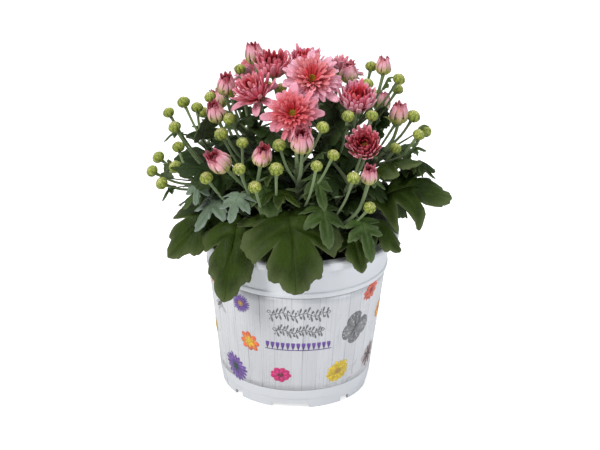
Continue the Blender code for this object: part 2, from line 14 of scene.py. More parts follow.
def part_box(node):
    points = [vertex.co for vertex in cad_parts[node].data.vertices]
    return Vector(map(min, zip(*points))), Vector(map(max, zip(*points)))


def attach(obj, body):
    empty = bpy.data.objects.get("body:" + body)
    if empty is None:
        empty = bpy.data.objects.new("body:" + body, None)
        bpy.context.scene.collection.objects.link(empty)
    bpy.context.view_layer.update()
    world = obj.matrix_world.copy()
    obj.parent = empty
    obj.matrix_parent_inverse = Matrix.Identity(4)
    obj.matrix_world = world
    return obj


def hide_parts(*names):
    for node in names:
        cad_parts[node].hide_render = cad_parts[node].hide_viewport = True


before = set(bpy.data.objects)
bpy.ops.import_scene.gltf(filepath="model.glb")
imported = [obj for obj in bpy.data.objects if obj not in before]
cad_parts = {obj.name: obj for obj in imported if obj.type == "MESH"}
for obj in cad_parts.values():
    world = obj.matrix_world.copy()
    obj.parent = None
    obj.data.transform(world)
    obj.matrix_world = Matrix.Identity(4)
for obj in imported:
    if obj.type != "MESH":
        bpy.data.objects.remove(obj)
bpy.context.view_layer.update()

# ---- Studio ----
# A white table in a white room. One large soft light stands at the upper left in front, a weaker one at the
# right and one above the back, and the camera looks slightly down at the plant.
scene = bpy.context.scene
scene.view_settings.view_transform = "Standard"

ROOM_LIGHT, ROOM_SEEN = 0.36, 1.05      # what the room lights the plant with, and how white it looks
TABLE_HALF, TABLE_GLOW = 4.0, 0.62
CAMERA_PLACE, CAMERA_DIP, CAMERA_LEAN = (0.0016, -0.949, 0.5134), 0.398, 0.019

room = bpy.data.worlds.new("white_room")
room.use_nodes = True
room.node_tree.nodes["Background"].inputs["Color"].default_value = (0.93, 0.96, 1.0, 1)
room_rays = room.node_tree.nodes.new("ShaderNodeLightPath").outputs["Is Camera Ray"]
room_mix = room.node_tree.nodes.new("ShaderNodeMix")
room_mix.inputs[2].default_value, room_mix.inputs[3].default_value = ROOM_LIGHT, ROOM_SEEN
room.node_tree.links.new(room_rays, room_mix.inputs[0])
room.node_tree.links.new(room_mix.outputs[0], room.node_tree.nodes["Background"].inputs["Strength"])
scene.world = room


def studio_light(name, place, size, watts, colour):
    """A square area light that faces the middle of the plant."""
    lamp = bpy.data.lights.new(name, "AREA")
    lamp.size, lamp.energy, lamp.color = size, watts, colour
    made = bpy.data.objects.new(name, lamp)
    made.location = place
    made.rotation_euler = (Vector((0, 0, 0.12)) - Vector(place)).to_track_quat("-Z", "Y").to_euler()
    scene.collection.objects.link(made)


studio_light("window_left", (-0.85, -0.78, 1.10), 0.5, 13.0, (1.0, 0.98, 0.95))
studio_light("fill_right", (1.0, -0.55, 0.55), 0.5, 4.2, (0.95, 0.97, 1.0))
studio_light("top_back", (0.15, 0.45, 1.3), 0.5, 7, (1.0, 1.0, 1.0))

table_mesh = bpy.data.meshes.new("table")
table_corners = [(x * TABLE_HALF, y * TABLE_HALF, 0) for x, y in ((-1, -1), (1, -1), (1, 1), (-1, 1))]
table_mesh.from_pydata(table_corners, [], [(0, 1, 2, 3)])
table = bpy.data.objects.new("table", table_mesh)
scene.collection.objects.link(table)
white_card = bpy.data.materials.new("white_card")
white_card.use_nodes = True
card = white_card.node_tree.nodes["Principled BSDF"].inputs
card["Base Color"].default_value = (0.9, 0.9, 0.9, 1)
card["Roughness"].default_value = 0.8
card["Emission Color"].default_value = (1, 1, 1, 1)
card_rays = white_card.node_tree.nodes.new("ShaderNodeLightPath").outputs["Is Camera Ray"]
card_glow = white_card.node_tree.nodes.new("ShaderNodeMath")
card_glow.operation = "MULTIPLY"
card_glow.inputs[1].default_value = TABLE_GLOW
white_card.node_tree.links.new(card_rays, card_glow.inputs[0])
white_card.node_tree.links.new(card_glow.outputs[0], card["Emission Strength"])
table_mesh.materials.append(white_card)

lens = bpy.data.cameras.new("camera")
lens.lens, lens.sensor_width, lens.clip_start = 90, 36, 0.02
camera = bpy.data.objects.new("camera", lens)
camera.matrix_world = (
    Matrix.Translation(CAMERA_PLACE)
    @ Matrix.Rotation(math.pi / 2 - CAMERA_DIP, 4, "X")
    @ Matrix.Rotation(CAMERA_LEAN, 4, "Z")
)
scene.collection.objects.link(camera)
scene.camera = camera

# ---- Pot ----
# One thin moulding in satin white plastic: a flared cup with a turned-down lip, a plain band under it, a
# ridge, a shallow recess for the printed sleeve, and a foot ring with notches. Six holes drain its floor.
POT_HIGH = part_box("pot")[1]
RIM_Z = POT_HIGH[2]
LIP_RADIUS = POT_HIGH[0]
BASE_RADIUS = 0.052
WALL = 0.0015
WALL_FLARE = 0.108
STEP_HEIGHT = 0.0077
STEP_DEPTH = 0.0007
BAND_DROP = 0.023
RIDGE_HEIGHT = 0.0046
RIDGE_PROUD = 0.0010
LIP_DEPTH = 0.005
FLOOR_HEIGHT = 0.0045
FOOT_THICKNESS = 0.0024
SLEEVE_TOP = RIM_Z - BAND_DROP - RIDGE_HEIGHT
SLEEVE_BOTTOM = 0.0145
RECESS = 0.0007
NOTCHES = ((28, 0), (8, 45))    # width and place in each quarter, in degrees
NOTCH_HEIGHT = 0.0036
FIRST_NOTCH = -93
DRAINS, DRAIN_RADIUS, DRAIN_CIRCLE = 6, 0.004, 0.036
POT_STEPS = 160
PLASTIC_WHITE = (0.76, 0.78, 0.81, 1)


def wall_radius(z):
    """Radius of the pot wall's outside at a height."""
    return BASE_RADIUS + STEP_DEPTH + WALL_FLARE * (z - STEP_HEIGHT)


def eased(profile, corner):
    """The profile with each of its corners turned into a small arc."""
    line = [profile[0]]
    for before, point, after in zip(profile, profile[1:], profile[2:]):
        before, point, after = Vector(before), Vector(point), Vector(after)
        start = point + (before - point).normalized() * min(corner, (before - point).length * 0.42)
        end = point + (after - point).normalized() * min(corner, (after - point).length * 0.42)
        line += [tuple(start.lerp(point, t).lerp(point.lerp(end, t), t)) for t in (0, 0.33, 0.67, 1)]
    return [*line, profile[-1]]


def turned(name, profile, steps):
    """A mesh turned about Z from a profile of (radius, height) points that runs down its outside."""
    points, rings, faces = [], [], []
    for radius, height in profile:
        count = steps if radius else 1
        rings.append(range(len(points), len(points) + count))
        angles = [math.tau * i / steps for i in range(count)]
        points += [(radius * math.cos(a), radius * math.sin(a), height) for a in angles]
    for upper, lower in zip(rings, rings[1:]):
        for i in range(steps):
            on = (i + 1) % steps
            corners = (
                upper[i % len(upper)], lower[i % len(lower)], lower[on % len(lower)], upper[on % len(upper)]
            )
            faces.append(list(dict.fromkeys(corners)))
    mesh = bpy.data.meshes.new(name)
    mesh.from_pydata(points, [], faces)
    return mesh


def block(width, depth, height):
    """A mesh block about its own middle, for cutting."""
    mesh = bpy.data.meshes.new("cutter")
    square = ((-1, -1), (1, -1), (1, 1), (-1, 1))
    corners = [(x * width / 2, y * depth / 2, z * height / 2) for z in (-1, 1) for x, y in square]
    sides = [(i, (i + 1) % 4, (i + 1) % 4 + 4, i + 4) for i in range(4)]
    mesh.from_pydata(corners, [], [(3, 2, 1, 0), (4, 5, 6, 7), *sides])
    return mesh


def cut(mesh, cutters):
    """The mesh with every cutter, a (mesh, matrix) pair, taken out of it."""
    body = bpy.data.objects.new(mesh.name, mesh)
    scene.collection.objects.link(body)
    tools = []
    for shape, place in cutters:
        tool = bpy.data.objects.new("cutter", shape)
        tool.matrix_world = place
        scene.collection.objects.link(tool)
        change = body.modifiers.new("cut", "BOOLEAN")
        change.operation, change.solver, change.object = "DIFFERENCE", "EXACT", tool
        tools.append(tool)
    bpy.context.view_layer.update()
    made = bpy.data.meshes.new_from_object(body.evaluated_get(bpy.context.evaluated_depsgraph_get()))
    for used in (body, *tools):
        bpy.data.objects.remove(used)
    return made


def node(tree, kind, settings=None, **inputs):
    """A shader node. A socket given as an input is linked, i6 is the seventh input, and _ is a space."""
    made = tree.nodes.new("ShaderNode" + kind)
    for key, value in (settings or {}).items():
        setattr(made, key, value)
    for key, value in inputs.items():
        socket = made.inputs[int(key[1:]) if key[1:].isdigit() else key.replace("_", " ")]
        if isinstance(value, bpy.types.NodeSocket):
            tree.links.new(value, socket)
        else:
            socket.default_value = value
    return made


def spokes(sides, sense=1):
    """The (cosine, sine) of equal steps once round, clockwise if sense is -1."""
    return [(math.cos(a), math.sin(a)) for a in (sense * math.tau * k / sides for k in range(sides))]


def maths(tree, operation, a, b=0.0, c=0.0):
    return node(tree, "Math", {"operation": operation}, i0=a, i1=b, i2=c).outputs[0]


def blend(tree, share, first, second):
    """first where share is 0 and second where it is 1, as colours."""
    return node(tree, "Mix", {"data_type": "RGBA"}, i0=share, i6=first, i7=second).outputs[2]


def multiplied(tree, share, first, second):
    """first, multiplied by second as far as share says, as colours."""
    settings = {"data_type": "RGBA", "blend_type": "MULTIPLY"}
    return node(tree, "Mix", settings, i0=share, i6=first, i7=second).outputs[2]


def between(tree, value, low, high, at_low=0.0, at_high=1.0):
    """value, moved smoothly from the range low..high to at_low..at_high."""
    inputs = {"i0": value, "i1": low, "i2": high, "i3": at_low, "i4": at_high}
    return node(tree, "MapRange", {"interpolation_type": "SMOOTHSTEP"}, **inputs).outputs[0]


def new_group(name, inputs, outputs):
    """An empty node group, from (name, kind, value) for each input and (name, kind) for each output."""
    group = bpy.data.node_groups.new(name, "ShaderNodeTree")
    for label, kind, value in inputs:
        made = group.interface.new_socket(label, in_out="INPUT", socket_type="NodeSocket" + kind)
        made.default_value = value
    for label, kind in outputs:
        group.interface.new_socket(label, in_out="OUTPUT", socket_type="NodeSocket" + kind)
    return group, group.nodes.new("NodeGroupInput").outputs, group.nodes.new("NodeGroupOutput").inputs


def place_group(tree, group, **inputs):
    """A group in a material, with its own values."""
    return node(tree, "Group", {"node_tree": group}, **inputs).outputs


def finish(name, **constants):
    """A new material, its tree and its shader, whose own sockets take the constants."""
    made = bpy.data.materials.new(name)
    made.use_nodes = True
    shader = made.node_tree.nodes["Principled BSDF"]
    for key, value in constants.items():
        shader.inputs[key.replace("_", " ")].default_value = value
    return made, made.node_tree, shader


def surface(tree, shader, colour, roughness, height, strength, distance):
    """Gives a material's shader its colour, its roughness and its relief."""
    relief = node(tree, "Bump", Height=height, Strength=strength, Distance=distance)
    tree.links.new(relief.outputs[0], shader.inputs["Normal"])
    tree.links.new(colour, shader.inputs["Base Color"])
    if roughness is not None:
        tree.links.new(roughness, shader.inputs["Roughness"])


# Unevenness: a broad mottle and a fine grain, in the piece's own metres.
UNEVEN, uneven_in, uneven_out = new_group(
    "unevenness", (("Broad", "Float", 30.0), ("Fine", "Float", 800.0)), (
        ("Mottle", "Float"), ("Grain", "Float")
    )
)
uneven_place = node(UNEVEN, "TexCoord").outputs["Object"]
for socket_name, result in (("Broad", "Mottle"), ("Fine", "Grain")):
    cloud = node(UNEVEN, "TexNoise", Vector=uneven_place, Scale=uneven_in[socket_name], Detail=3.0)
    UNEVEN.links.new(cloud.outputs[0], uneven_out[result])

white_plastic, tree, shader = finish("white_plastic", IOR=1.5)
uneven = place_group(tree, UNEVEN, Broad=26.0, Fine=1500.0)
white = blend(tree, uneven["Mottle"], (0.73, 0.75, 0.79, 1), PLASTIC_WHITE)
satin = between(tree, uneven["Mottle"], 0.2, 0.8, 0.26, 0.38)
surface(tree, shader, white, satin, uneven["Grain"], 0.06, 0.0002)


def add_piece(name, mesh, finishes, slot, *nodes):
    """A finished piece, on the plant's one body, standing for the nodes."""
    piece = bpy.data.objects.new(name, mesh)
    scene.collection.objects.link(piece)
    for layer in finishes:
        mesh.materials.append(layer)
    if nodes:
        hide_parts(*nodes)
    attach(piece, "root")
    return piece


band_z = RIM_Z - BAND_DROP
inside_low = wall_radius(FLOOR_HEIGHT + WALL) - RECESS - WALL
pot_profile = [
    (0, FLOOR_HEIGHT + WALL),
    (inside_low, FLOOR_HEIGHT + WALL),
    (wall_radius(RIM_Z) - RECESS - WALL, RIM_Z),
    (LIP_RADIUS - 0.0012, RIM_Z),
    (LIP_RADIUS, RIM_Z - 0.0012),
    (LIP_RADIUS - 0.0003, RIM_Z - LIP_DEPTH),
    (LIP_RADIUS - WALL, RIM_Z - LIP_DEPTH),
    (LIP_RADIUS - WALL, RIM_Z - WALL * 1.4),
    (wall_radius(RIM_Z), RIM_Z - WALL * 1.8),
    (wall_radius(band_z), band_z),
    (wall_radius(band_z) + RIDGE_PROUD, band_z - 0.0006),
    (wall_radius(SLEEVE_TOP) + RIDGE_PROUD, SLEEVE_TOP + 0.0012),
    (wall_radius(SLEEVE_TOP), SLEEVE_TOP),
    (wall_radius(SLEEVE_TOP) - RECESS, SLEEVE_TOP),
    (wall_radius(SLEEVE_BOTTOM) - RECESS, SLEEVE_BOTTOM),
    (wall_radius(SLEEVE_BOTTOM), SLEEVE_BOTTOM),
    (wall_radius(STEP_HEIGHT), STEP_HEIGHT),
    (BASE_RADIUS + STEP_DEPTH * 0.3, STEP_HEIGHT - 0.0004),
    (BASE_RADIUS - STEP_DEPTH, 0),
    (BASE_RADIUS - FOOT_THICKNESS, 0),
    (BASE_RADIUS - FOOT_THICKNESS, FLOOR_HEIGHT),
    (0, FLOOR_HEIGHT),
]
cutters = []
for quarter in range(4):
    for width, turn in NOTCHES:
        chord = 2 * BASE_RADIUS * math.sin(math.radians(width / 2))
        across = Matrix.Rotation(math.radians(FIRST_NOTCH + 90 * quarter + turn), 4, "Z")
        notch = block(FOOT_THICKNESS * 5, chord, 2 * NOTCH_HEIGHT)
        cutters.append((notch, across @ Matrix.Translation((BASE_RADIUS - FOOT_THICKNESS / 2, 0, 0))))
for hole in range(DRAINS):
    drill = turned("drill", [(0, 0.01), (DRAIN_RADIUS, 0.01), (DRAIN_RADIUS, 0), (0, 0)], 28)
    turn = Matrix.Rotation(math.tau * hole / DRAINS, 4, "Z")
    cutters.append((drill, turn @ Matrix.Translation((DRAIN_CIRCLE, 0, 0.001))))
pot_mesh = cut(turned("pot_moulding", eased(pot_profile, 0.0005), POT_STEPS), cutters)
pot_mesh.materials.clear()
pot_mesh.shade_smooth()
pot_mesh.set_sharp_from_angle(angle=math.radians(34))
add_piece("pot_moulding", pot_mesh, [white_plastic], "pot_plastic", "pot")

# ---- Printed sleeve ----
# A thin glossy film moulded into the recess, its ends lapped at the back. It is printed with upright
# whitewashed planks, and over them scattered flowers, moths, flies and leafy scrolls, all in flat ink.
FILM = 0.0003
LAP_DEGREES = 4
INK = 0.00010           # first layer of ink above the film
INK_LAYER = 0.00003
INK_THICKNESS = 0.00004
PLANK = 0.0100
SLEEVE_ROWS, SLEEVE_COLUMNS = 12, 192
SLEEVE_GAP = 0.0003     # between the film and each end of the recess


class Patchwork:
    """The points and faces of a piece while it is put together. Each point has a tint and a flat (u, v)."""

    def __init__(self):
        self.points, self.tints, self.flat, self.faces = [], [], [], []

    def net(self, rows, ring=False, caps=False):
        """Quads between rows of (point, tint, flat); the faces look along row step x column step."""
        start, width = len(self.points), len(rows[0])
        for row in rows:
            for point, tint, flat in row:
                self.points.append(point)
                self.tints.append(tint)
                self.flat.append(flat)
        for i in range(len(rows) - 1):
            for j in range(width if ring else width - 1):
                here, on = start + i * width + j, start + i * width + (j + 1) % width
                self.faces.append((here, here + width, on + width, on))
        if caps:
            last = start + (len(rows) - 1) * width
            self.faces += [tuple(range(start, start + width)), tuple(range(last + width - 1, last - 1, -1))]

    def mesh(self, name):
        made = bpy.data.meshes.new(name)
        made.from_pydata(self.points, [], self.faces)
        tints = made.color_attributes.new("tint", "FLOAT_COLOR", "POINT")
        tints.data.foreach_set("color", [value for tint in self.tints for value in (*tint[:3], 1)])
        flat = made.uv_layers.new(name="flat")
        flat.data.foreach_set("uv", [value for loop in made.loops for value in self.flat[loop.vertex_index]])
        made.shade_smooth()
        return made


def round_the_pot(degrees, height, proud=0.0):
    """A place on the sleeve, in degrees round from the front towards +X."""
    radius, angle = wall_radius(height) + proud, math.radians(degrees)
    return Vector((radius * math.sin(angle), -radius * math.cos(angle), height))


def thicken(piece, thickness, back_layer=0):
    """Gives a thin piece its thickness behind its faces, with the finish back_layer places on there."""
    shell = piece.modifiers.new("thickness", "SOLIDIFY")
    shell.thickness, shell.offset = thickness, -1
    shell.material_offset = back_layer


def tint_of(tree):
    """The colour that the piece's own points carry."""
    return node(tree, "Attribute", {"attribute_name": "tint"}).outputs["Color"]


printed_film, tree, shader = finish("printed_film", IOR=1.5, Coat_Weight=0.25, Coat_Roughness=0.22)
uneven = place_group(tree, UNEVEN, Broad=60.0, Fine=900.0)
flat = node(tree, "UVMap", {"uv_map": "flat"}).outputs[0]
parts = node(tree, "SeparateXYZ", Vector=flat).outputs
wander = node(tree, "TexNoise", {"noise_dimensions": "1D"}, W=parts["X"], Scale=90.0).outputs[0]
boards = maths(tree, "DIVIDE", maths(tree, "ADD", parts["X"], maths(tree, "MULTIPLY", wander, 0.008)), PLANK)
which_board = maths(tree, "FLOOR", boards)
board_tone = node(tree, "TexWhiteNoise", {"noise_dimensions": "1D"}, W=which_board).outputs["Value"]
into_board = maths(tree, "FRACT", boards)
gap = between(tree, maths(tree, "ABSOLUTE", maths(tree, "SUBTRACT", into_board, 0.5)), 0.462, 0.49)
broken_place = node(tree, "Mapping", Vector=flat, Scale=(110.0, 22.0, 1.0)).outputs[0]
broken = node(tree, "TexNoise", Vector=broken_place, Scale=1.0)
gap_shade = maths(tree, "MULTIPLY", gap, between(tree, broken.outputs[0], 0.40, 0.62, 0.15, 1.0))
streak_place = node(tree, "Mapping", Vector=flat, Scale=(1500.0, 26.0, 1.0)).outputs[0]
streaks = node(tree, "TexNoise", Vector=streak_place, Scale=1.0, Detail=4.0)
board = blend(tree, board_tone, (0.65, 0.66, 0.69, 1), (0.71, 0.72, 0.75, 1))
streak_share = between(tree, streaks.outputs[0], 0.52, 0.70, 0.0, 0.55)
board = blend(tree, streak_share, board, (0.42, 0.43, 0.46, 1))
board = blend(tree, maths(tree, "MULTIPLY", gap_shade, 0.75), board, (0.30, 0.30, 0.34, 1))
glossy = between(tree, uneven["Mottle"], 0.2, 0.8, 0.24, 0.34)
surface(tree, shader, board, glossy, uneven["Grain"], 0.05, 0.0001)

sleeve = Patchwork()
sleeve_rows = []
for i in range(SLEEVE_ROWS + 1):
    height = SLEEVE_TOP - SLEEVE_GAP - (SLEEVE_TOP - SLEEVE_BOTTOM - 2 * SLEEVE_GAP) * i / SLEEVE_ROWS
    row = []
    for j in range(SLEEVE_COLUMNS + 1):
        degrees = -180 - LAP_DEGREES / 2 + (360 + LAP_DEGREES) * j / SLEEVE_COLUMNS
        lapped = min(1, max(0, (degrees - 176) / 3))
        place = round_the_pot(degrees, height, -0.00005 + 0.00035 * lapped)
        row.append((place, (1, 1, 1), (math.radians(degrees) * wall_radius(0.05), height)))
    sleeve_rows.append(row)
sleeve.net(sleeve_rows)
film = add_piece(
    "printed_sleeve", sleeve.mesh("printed_sleeve"), [printed_film], "label_film", "printed_label"
)
thicken(film, FILM)

ink = Patchwork()


def on_sleeve(spot, x, y, layer):
    """A place x to the right and y up from a spot on the sleeve, in millimetres."""
    height = (spot[1] + y) / 1000
    degrees = spot[0] + math.degrees(x / 1000 / wall_radius(height))
    return round_the_pot(degrees, height, INK + INK_LAYER * layer)


def printed_petal(spot, start, end, width, inner, outer, layer, lay):
    """One flat petal from start to end, in millimetres; lay leans and squashes the figure that it is in."""
    run = end - start
    side = Vector((-run.y, run.x)).normalized() * width / 2
    rows = []
    for share, breadth in ((0, 0.35), (0.3, 0.8), (0.6, 1.0), (0.85, 0.8), (1, 0.3)):
        colour = [a + (b - a) * share for a, b in zip(inner, outer)]
        row = []
        for across in (-1, 0, 1):
            x, y = lay @ (start + run * share + side * breadth * across)
            row.append((on_sleeve(spot, x, y, layer), colour, (x, y)))
        rows.append(row)
    ink.net(rows)


def printed_dot(spot, centre, radius, colour, layer, lay, sides=10):
    """A round of ink, in three rings."""
    rows = []
    for ring in (0.02, 0.55, 1):
        row = []
        for spoke in spokes(sides):
            x, y = lay @ (centre + Vector(spoke) * radius * ring)
            row.append((on_sleeve(spot, x, y, layer), colour, (x, y)))
        rows.append(row)
    ink.net(rows, ring=True)


def printed_stroke(spot, points, width, colour, layer=0):
    """A pen line through the points."""
    rows = []
    for i, point in enumerate(points):
        run = (points[min(i + 1, len(points) - 1)] - points[max(i - 1, 0)]).normalized()
        side = Vector((-run.y, run.x)) * width / 2
        edges = [point + side * across for across in (-1, 1)]
        rows.append([(on_sleeve(spot, *edge, layer), colour, (0, 0)) for edge in edges])
    ink.net(rows)


def leaning(degrees, squash):
    """A figure seen aslant: squashed across a line that leans by so many degrees."""
    turn = Matrix.Rotation(math.radians(degrees), 2)
    return turn @ Matrix.Diagonal((1, squash)) @ turn.transposed()


def printed_flower(spot, radius, rows, eye, eye_radius, lean=0, squash=1.0, seed=0):
    """Rings of petals, each (count, reach, width, inner colour, outer colour), round an eye."""
    chance = random.Random(seed)
    lay = leaning(lean, squash)
    for order, (count, reach, width, inner, outer) in enumerate(rows):
        for i in range(count):
            a = math.tau * (i + chance.uniform(-0.12, 0.12) + order * 0.5) / count
            way = Vector((math.cos(a), math.sin(a)))
            long = reach * radius * chance.uniform(0.88, 1.04)
            shade = chance.uniform(0.8, 1.12)
            inside, outside = ([min(1, c * shade) for c in colour] for colour in (inner, outer))
            layer = order * 2 + i % 2
            printed_petal(spot, way * eye_radius * 0.5, way * long, width, inside, outside, layer, lay)
    top = len(rows) * 2
    printed_dot(spot, Vector((0, 0)), eye_radius, eye, top, lay, sides=12)
    for spoke in spokes(9):
        dot = Vector(spoke) * eye_radius * 0.6
        printed_dot(spot, dot, eye_radius * 0.2, [c * 0.55 for c in eye], top + 1, lay, sides=6)


PURPLE, DEEP_PURPLE = (0.17, 0.07, 0.42), (0.09, 0.03, 0.24)
RED_ORANGE, ORANGE, YELLOW = (0.90, 0.11, 0.045), (0.92, 0.36, 0.04), (0.90, 0.66, 0.02)
MAGENTA, WINE, CREAM = (0.84, 0.012, 0.22), (0.20, 0.004, 0.03), (0.75, 0.66, 0.62)
PEN_GREY, MOTH_GREY = (0.11, 0.11, 0.12), (0.27, 0.27, 0.28)

aster = ((26, 1.0, 1.1, DEEP_PURPLE, PURPLE), (20, 0.78, 0.9, DEEP_PURPLE, (0.26, 0.13, 0.52)))
lily = ((8, 1.0, 4.2, ORANGE, RED_ORANGE), (6, 0.62, 2.6, YELLOW, ORANGE))
dahlia = (
    (18, 1.0, 2.8, DEEP_PURPLE, PURPLE), (15, 0.78, 2.4, DEEP_PURPLE, (0.28, 0.14, 0.50)),
    (11, 0.55, 2.0, (0.03, 0.05, 0.12), PURPLE),
)
anemone = ((9, 1.0, 4.6, WINE, MAGENTA), (7, 0.66, 2.8, (0.4, 0.004, 0.08), (0.9, 0.03, 0.3)))
marigold = (
    (17, 1.0, 3.2, (0.50, 0.30, 0.005), YELLOW), (14, 0.78, 2.8, (0.48, 0.28, 0.005), YELLOW),
    (10, 0.52, 2.2, (0.45, 0.22, 0.005), (0.95, 0.74, 0.04)),
)
zinnia = (
    (12, 1.0, 3.6, (0.45, 0.02, 0.02), RED_ORANGE), (9, 0.68, 3.0, (0.40, 0.02, 0.02), (0.95, 0.2, 0.09))
)
striped = ((8, 1.0, 4.6, (0.05, 0.02, 0.05), CREAM), (8, 0.9, 1.5, (0.03, 0.01, 0.03), (0.13, 0.05, 0.11)))
sunny = ((14, 1.0, 3.0, RED_ORANGE, ORANGE), (10, 0.7, 2.4, RED_ORANGE, YELLOW))
GOLD, BROWN, DARK_GREEN = (0.55, 0.32, 0.06), (0.16, 0.05, 0.01), (0.004, 0.065, 0.045)

# (degrees round from the front, height in mm), radius in mm, petals, eye, its radius, lean, squash
FLOWERS = (
    ((-38, 77), 7.6, aster, GOLD, 2.2, 20, 0.92),
    ((-33, 49), 8.0, lily, YELLOW, 1.6, -35, 0.90),
    ((-48, 24), 11.5, dahlia, DARK_GREEN, 2.8, -38, 0.80),
    ((-10, 27), 7.4, anemone, WINE, 2.0, 0, 0.78),
    ((32, 27), 9.8, marigold, GOLD, 2.0, 38, 0.80),
    ((56, 83), 9.4, zinnia, WINE, 1.4, 48, 0.70),
    ((75, 60), 7.6, sunny, BROWN, 1.8, 60, 0.8),
    ((66, 28), 10.5, striped, BROWN, 2.0, 55, 0.82),
    ((-71, 85), 6.0, lily, YELLOW, 1.3, 60, 0.7),
    ((-78, 43), 5.6, marigold, BROWN, 1.4, 80, 0.8),
    ((100, 82), 8.0, aster, GOLD, 2.2, -20, 0.9),
    ((98, 34), 8.6, anemone, WINE, 2.2, 15, 0.85),
    ((122, 60), 8.2, lily, YELLOW, 1.7, 30, 0.85),
    ((136, 26), 10.6, dahlia, DARK_GREEN, 2.8, 35, 0.78),
    ((150, 80), 8.4, marigold, GOLD, 1.9, -30, 0.84),
    ((165, 35), 7.0, zinnia, WINE, 1.6, 10, 0.8),
    ((-170, 22), 8.2, striped, BROWN, 1.9, -20, 0.86),
    ((-147, 83), 7.4, lily, YELLOW, 1.5, -40, 0.84),
    ((-146, 56), 8.0, anemone, WINE, 2.0, 20, 0.8),
    ((-138, 26), 9.4, marigold, GOLD, 2.0, -35, 0.84),
    ((-120, 80), 8.6, dahlia, DARK_GREEN, 2.3, 30, 0.8),
    ((-104, 50), 7.8, zinnia, WINE, 1.6, -30, 0.82),
    ((-98, 22), 8.0, aster, GOLD, 2.2, 10, 0.9),
)
for order, (spot, radius, rows, eye, eye_radius, lean, squash) in enumerate(FLOWERS):
    printed_flower(spot, radius, rows, eye, eye_radius, lean, squash, seed=order)


# A wing's start, end and width, and its spots: share of the way out, swing to the side, radius.
MOTH_WINGS = (((0.3, 1.6), (8.4, 7.0), 11.5), ((0.3, -0.6), (6.8, -5.6), 10.0))
MOTH_SPOTS = (
    (0.45, 0.12, 0.75), (0.62, -0.22, 0.6), (0.66, 0.2, 0.6),
    (0.86, 0.0, 0.7), (0.86, 0.25, 0.5), (0.86, -0.25, 0.5),
)


def printed_moth(spot, size, lean):
    """Two pairs of spotted wings about a thin body, seen aslant."""
    lay = Matrix.Rotation(math.radians(lean), 2) @ Matrix.Diagonal((0.9, 1.0))
    for side in (-1, 1):
        for start, end, width in MOTH_WINGS:
            root, tip = Vector((start[0] * side, start[1])) * size, Vector((end[0] * side, end[1])) * size
            printed_petal(spot, root, tip, width * size, MOTH_GREY, (0.20, 0.20, 0.21), 0, lay)
            run = tip - root
            aside = Vector((-run.y, run.x))
            for share, swing, dot in MOTH_SPOTS:
                centre = root + run * share + aside * swing
                printed_dot(spot, centre, dot * size, (0.50, 0.50, 0.50), 1, lay, sides=6)
            for swing in (-0.28, -0.12, 0.04, 0.2):
                vein = [lay @ (root + run * 0.12), lay @ (root + run * 0.93 + aside * swing)]
                printed_stroke(spot, vein, 0.22 * size, (0.08, 0.08, 0.085), 2)
    tail, neck = Vector((0, -4)) * size, Vector((0, 4.2)) * size
    printed_petal(spot, tail, neck, 1.5 * size, PEN_GREY, PEN_GREY, 3, lay)
    for side in (-1, 1):
        feeler = [lay @ (Vector(p) * size) for p in ((0, 4), (1.0 * side, 6), (2.6 * side, 7.6))]
        printed_stroke(spot, feeler, 0.3 * size, PEN_GREY, 3)


def printed_fly(spot, size, lean):
    """A thin insect with two narrow clear wings and six legs."""
    lay = Matrix.Rotation(math.radians(lean), 2)
    for side in (-1, 1):
        root, tip = Vector((0.3 * side, 1)) * size, Vector((8.5 * side, 2.6)) * size
        printed_petal(spot, root, tip, 2.6 * size, (0.5, 0.5, 0.52), (0.62, 0.62, 0.64), 0, lay)
        for start, knee in ((1.5, 3.2), (0, -0.6), (-1, -4)):
            joints = ((0.4 * side, start), (2.4 * side, knee), (3.4 * side, knee - 2.2))
            printed_stroke(spot, [lay @ (Vector(p) * size) for p in joints], 0.3 * size, PEN_GREY, 1)
    tail, neck = Vector((0, -5.5)) * size, Vector((0, 2)) * size
    printed_petal(spot, tail, neck, 2.6 * size, (0.06, 0.06, 0.065), PEN_GREY, 2, lay)
    printed_dot(spot, Vector((0, 2.8)) * size, 1.2 * size, (0.05, 0.05, 0.055), 2, lay)


def printed_scroll(spot, reach, tall, colour, seed):
    """A waving stalk with paired leaves and berries, where such a sleeve has its title."""
    chance = random.Random(seed)
    plain = Matrix.Identity(2)
    across = [reach * (i / 30 - 1) for i in range(61)]
    wave = [Vector((x, tall * 0.14 * math.sin(x * math.tau / 15))) for x in across]
    printed_stroke(spot, wave, 0.34, colour)
    for i in range(2, 60, 4):
        foot, up = wave[i], 1 if (i // 4) % 2 else -1
        for way, long in ((up, 0.56), (-up, 0.36)):
            tip = foot + Vector((chance.uniform(0.9, 2.2), way * tall * long))
            printed_stroke(spot, [foot, foot.lerp(tip, 0.5) + Vector((0.3, 0)), tip], 0.26, colour)
            paler = [min(1, c * 1.5) for c in colour]
            printed_petal(spot, foot.lerp(tip, 0.30), tip, 1.15, colour, paler, 1, plain)
        berry = foot + Vector((-0.9, up * tall * 0.34))
        printed_stroke(spot, [foot, berry], 0.2, colour)
        printed_dot(spot, berry, 0.42, colour, 1, plain, sides=8)
    for end in (-1, 1):
        curl = []
        for t in (k * 0.45 for k in range(13)):
            loop = Vector((end * 1.8 * math.sin(t), 1.6 - 1.6 * math.cos(t))) * (1 - t / 9)
            curl.append(Vector((end * reach, 0)) + loop)
        printed_stroke(spot, curl, 0.34, colour)


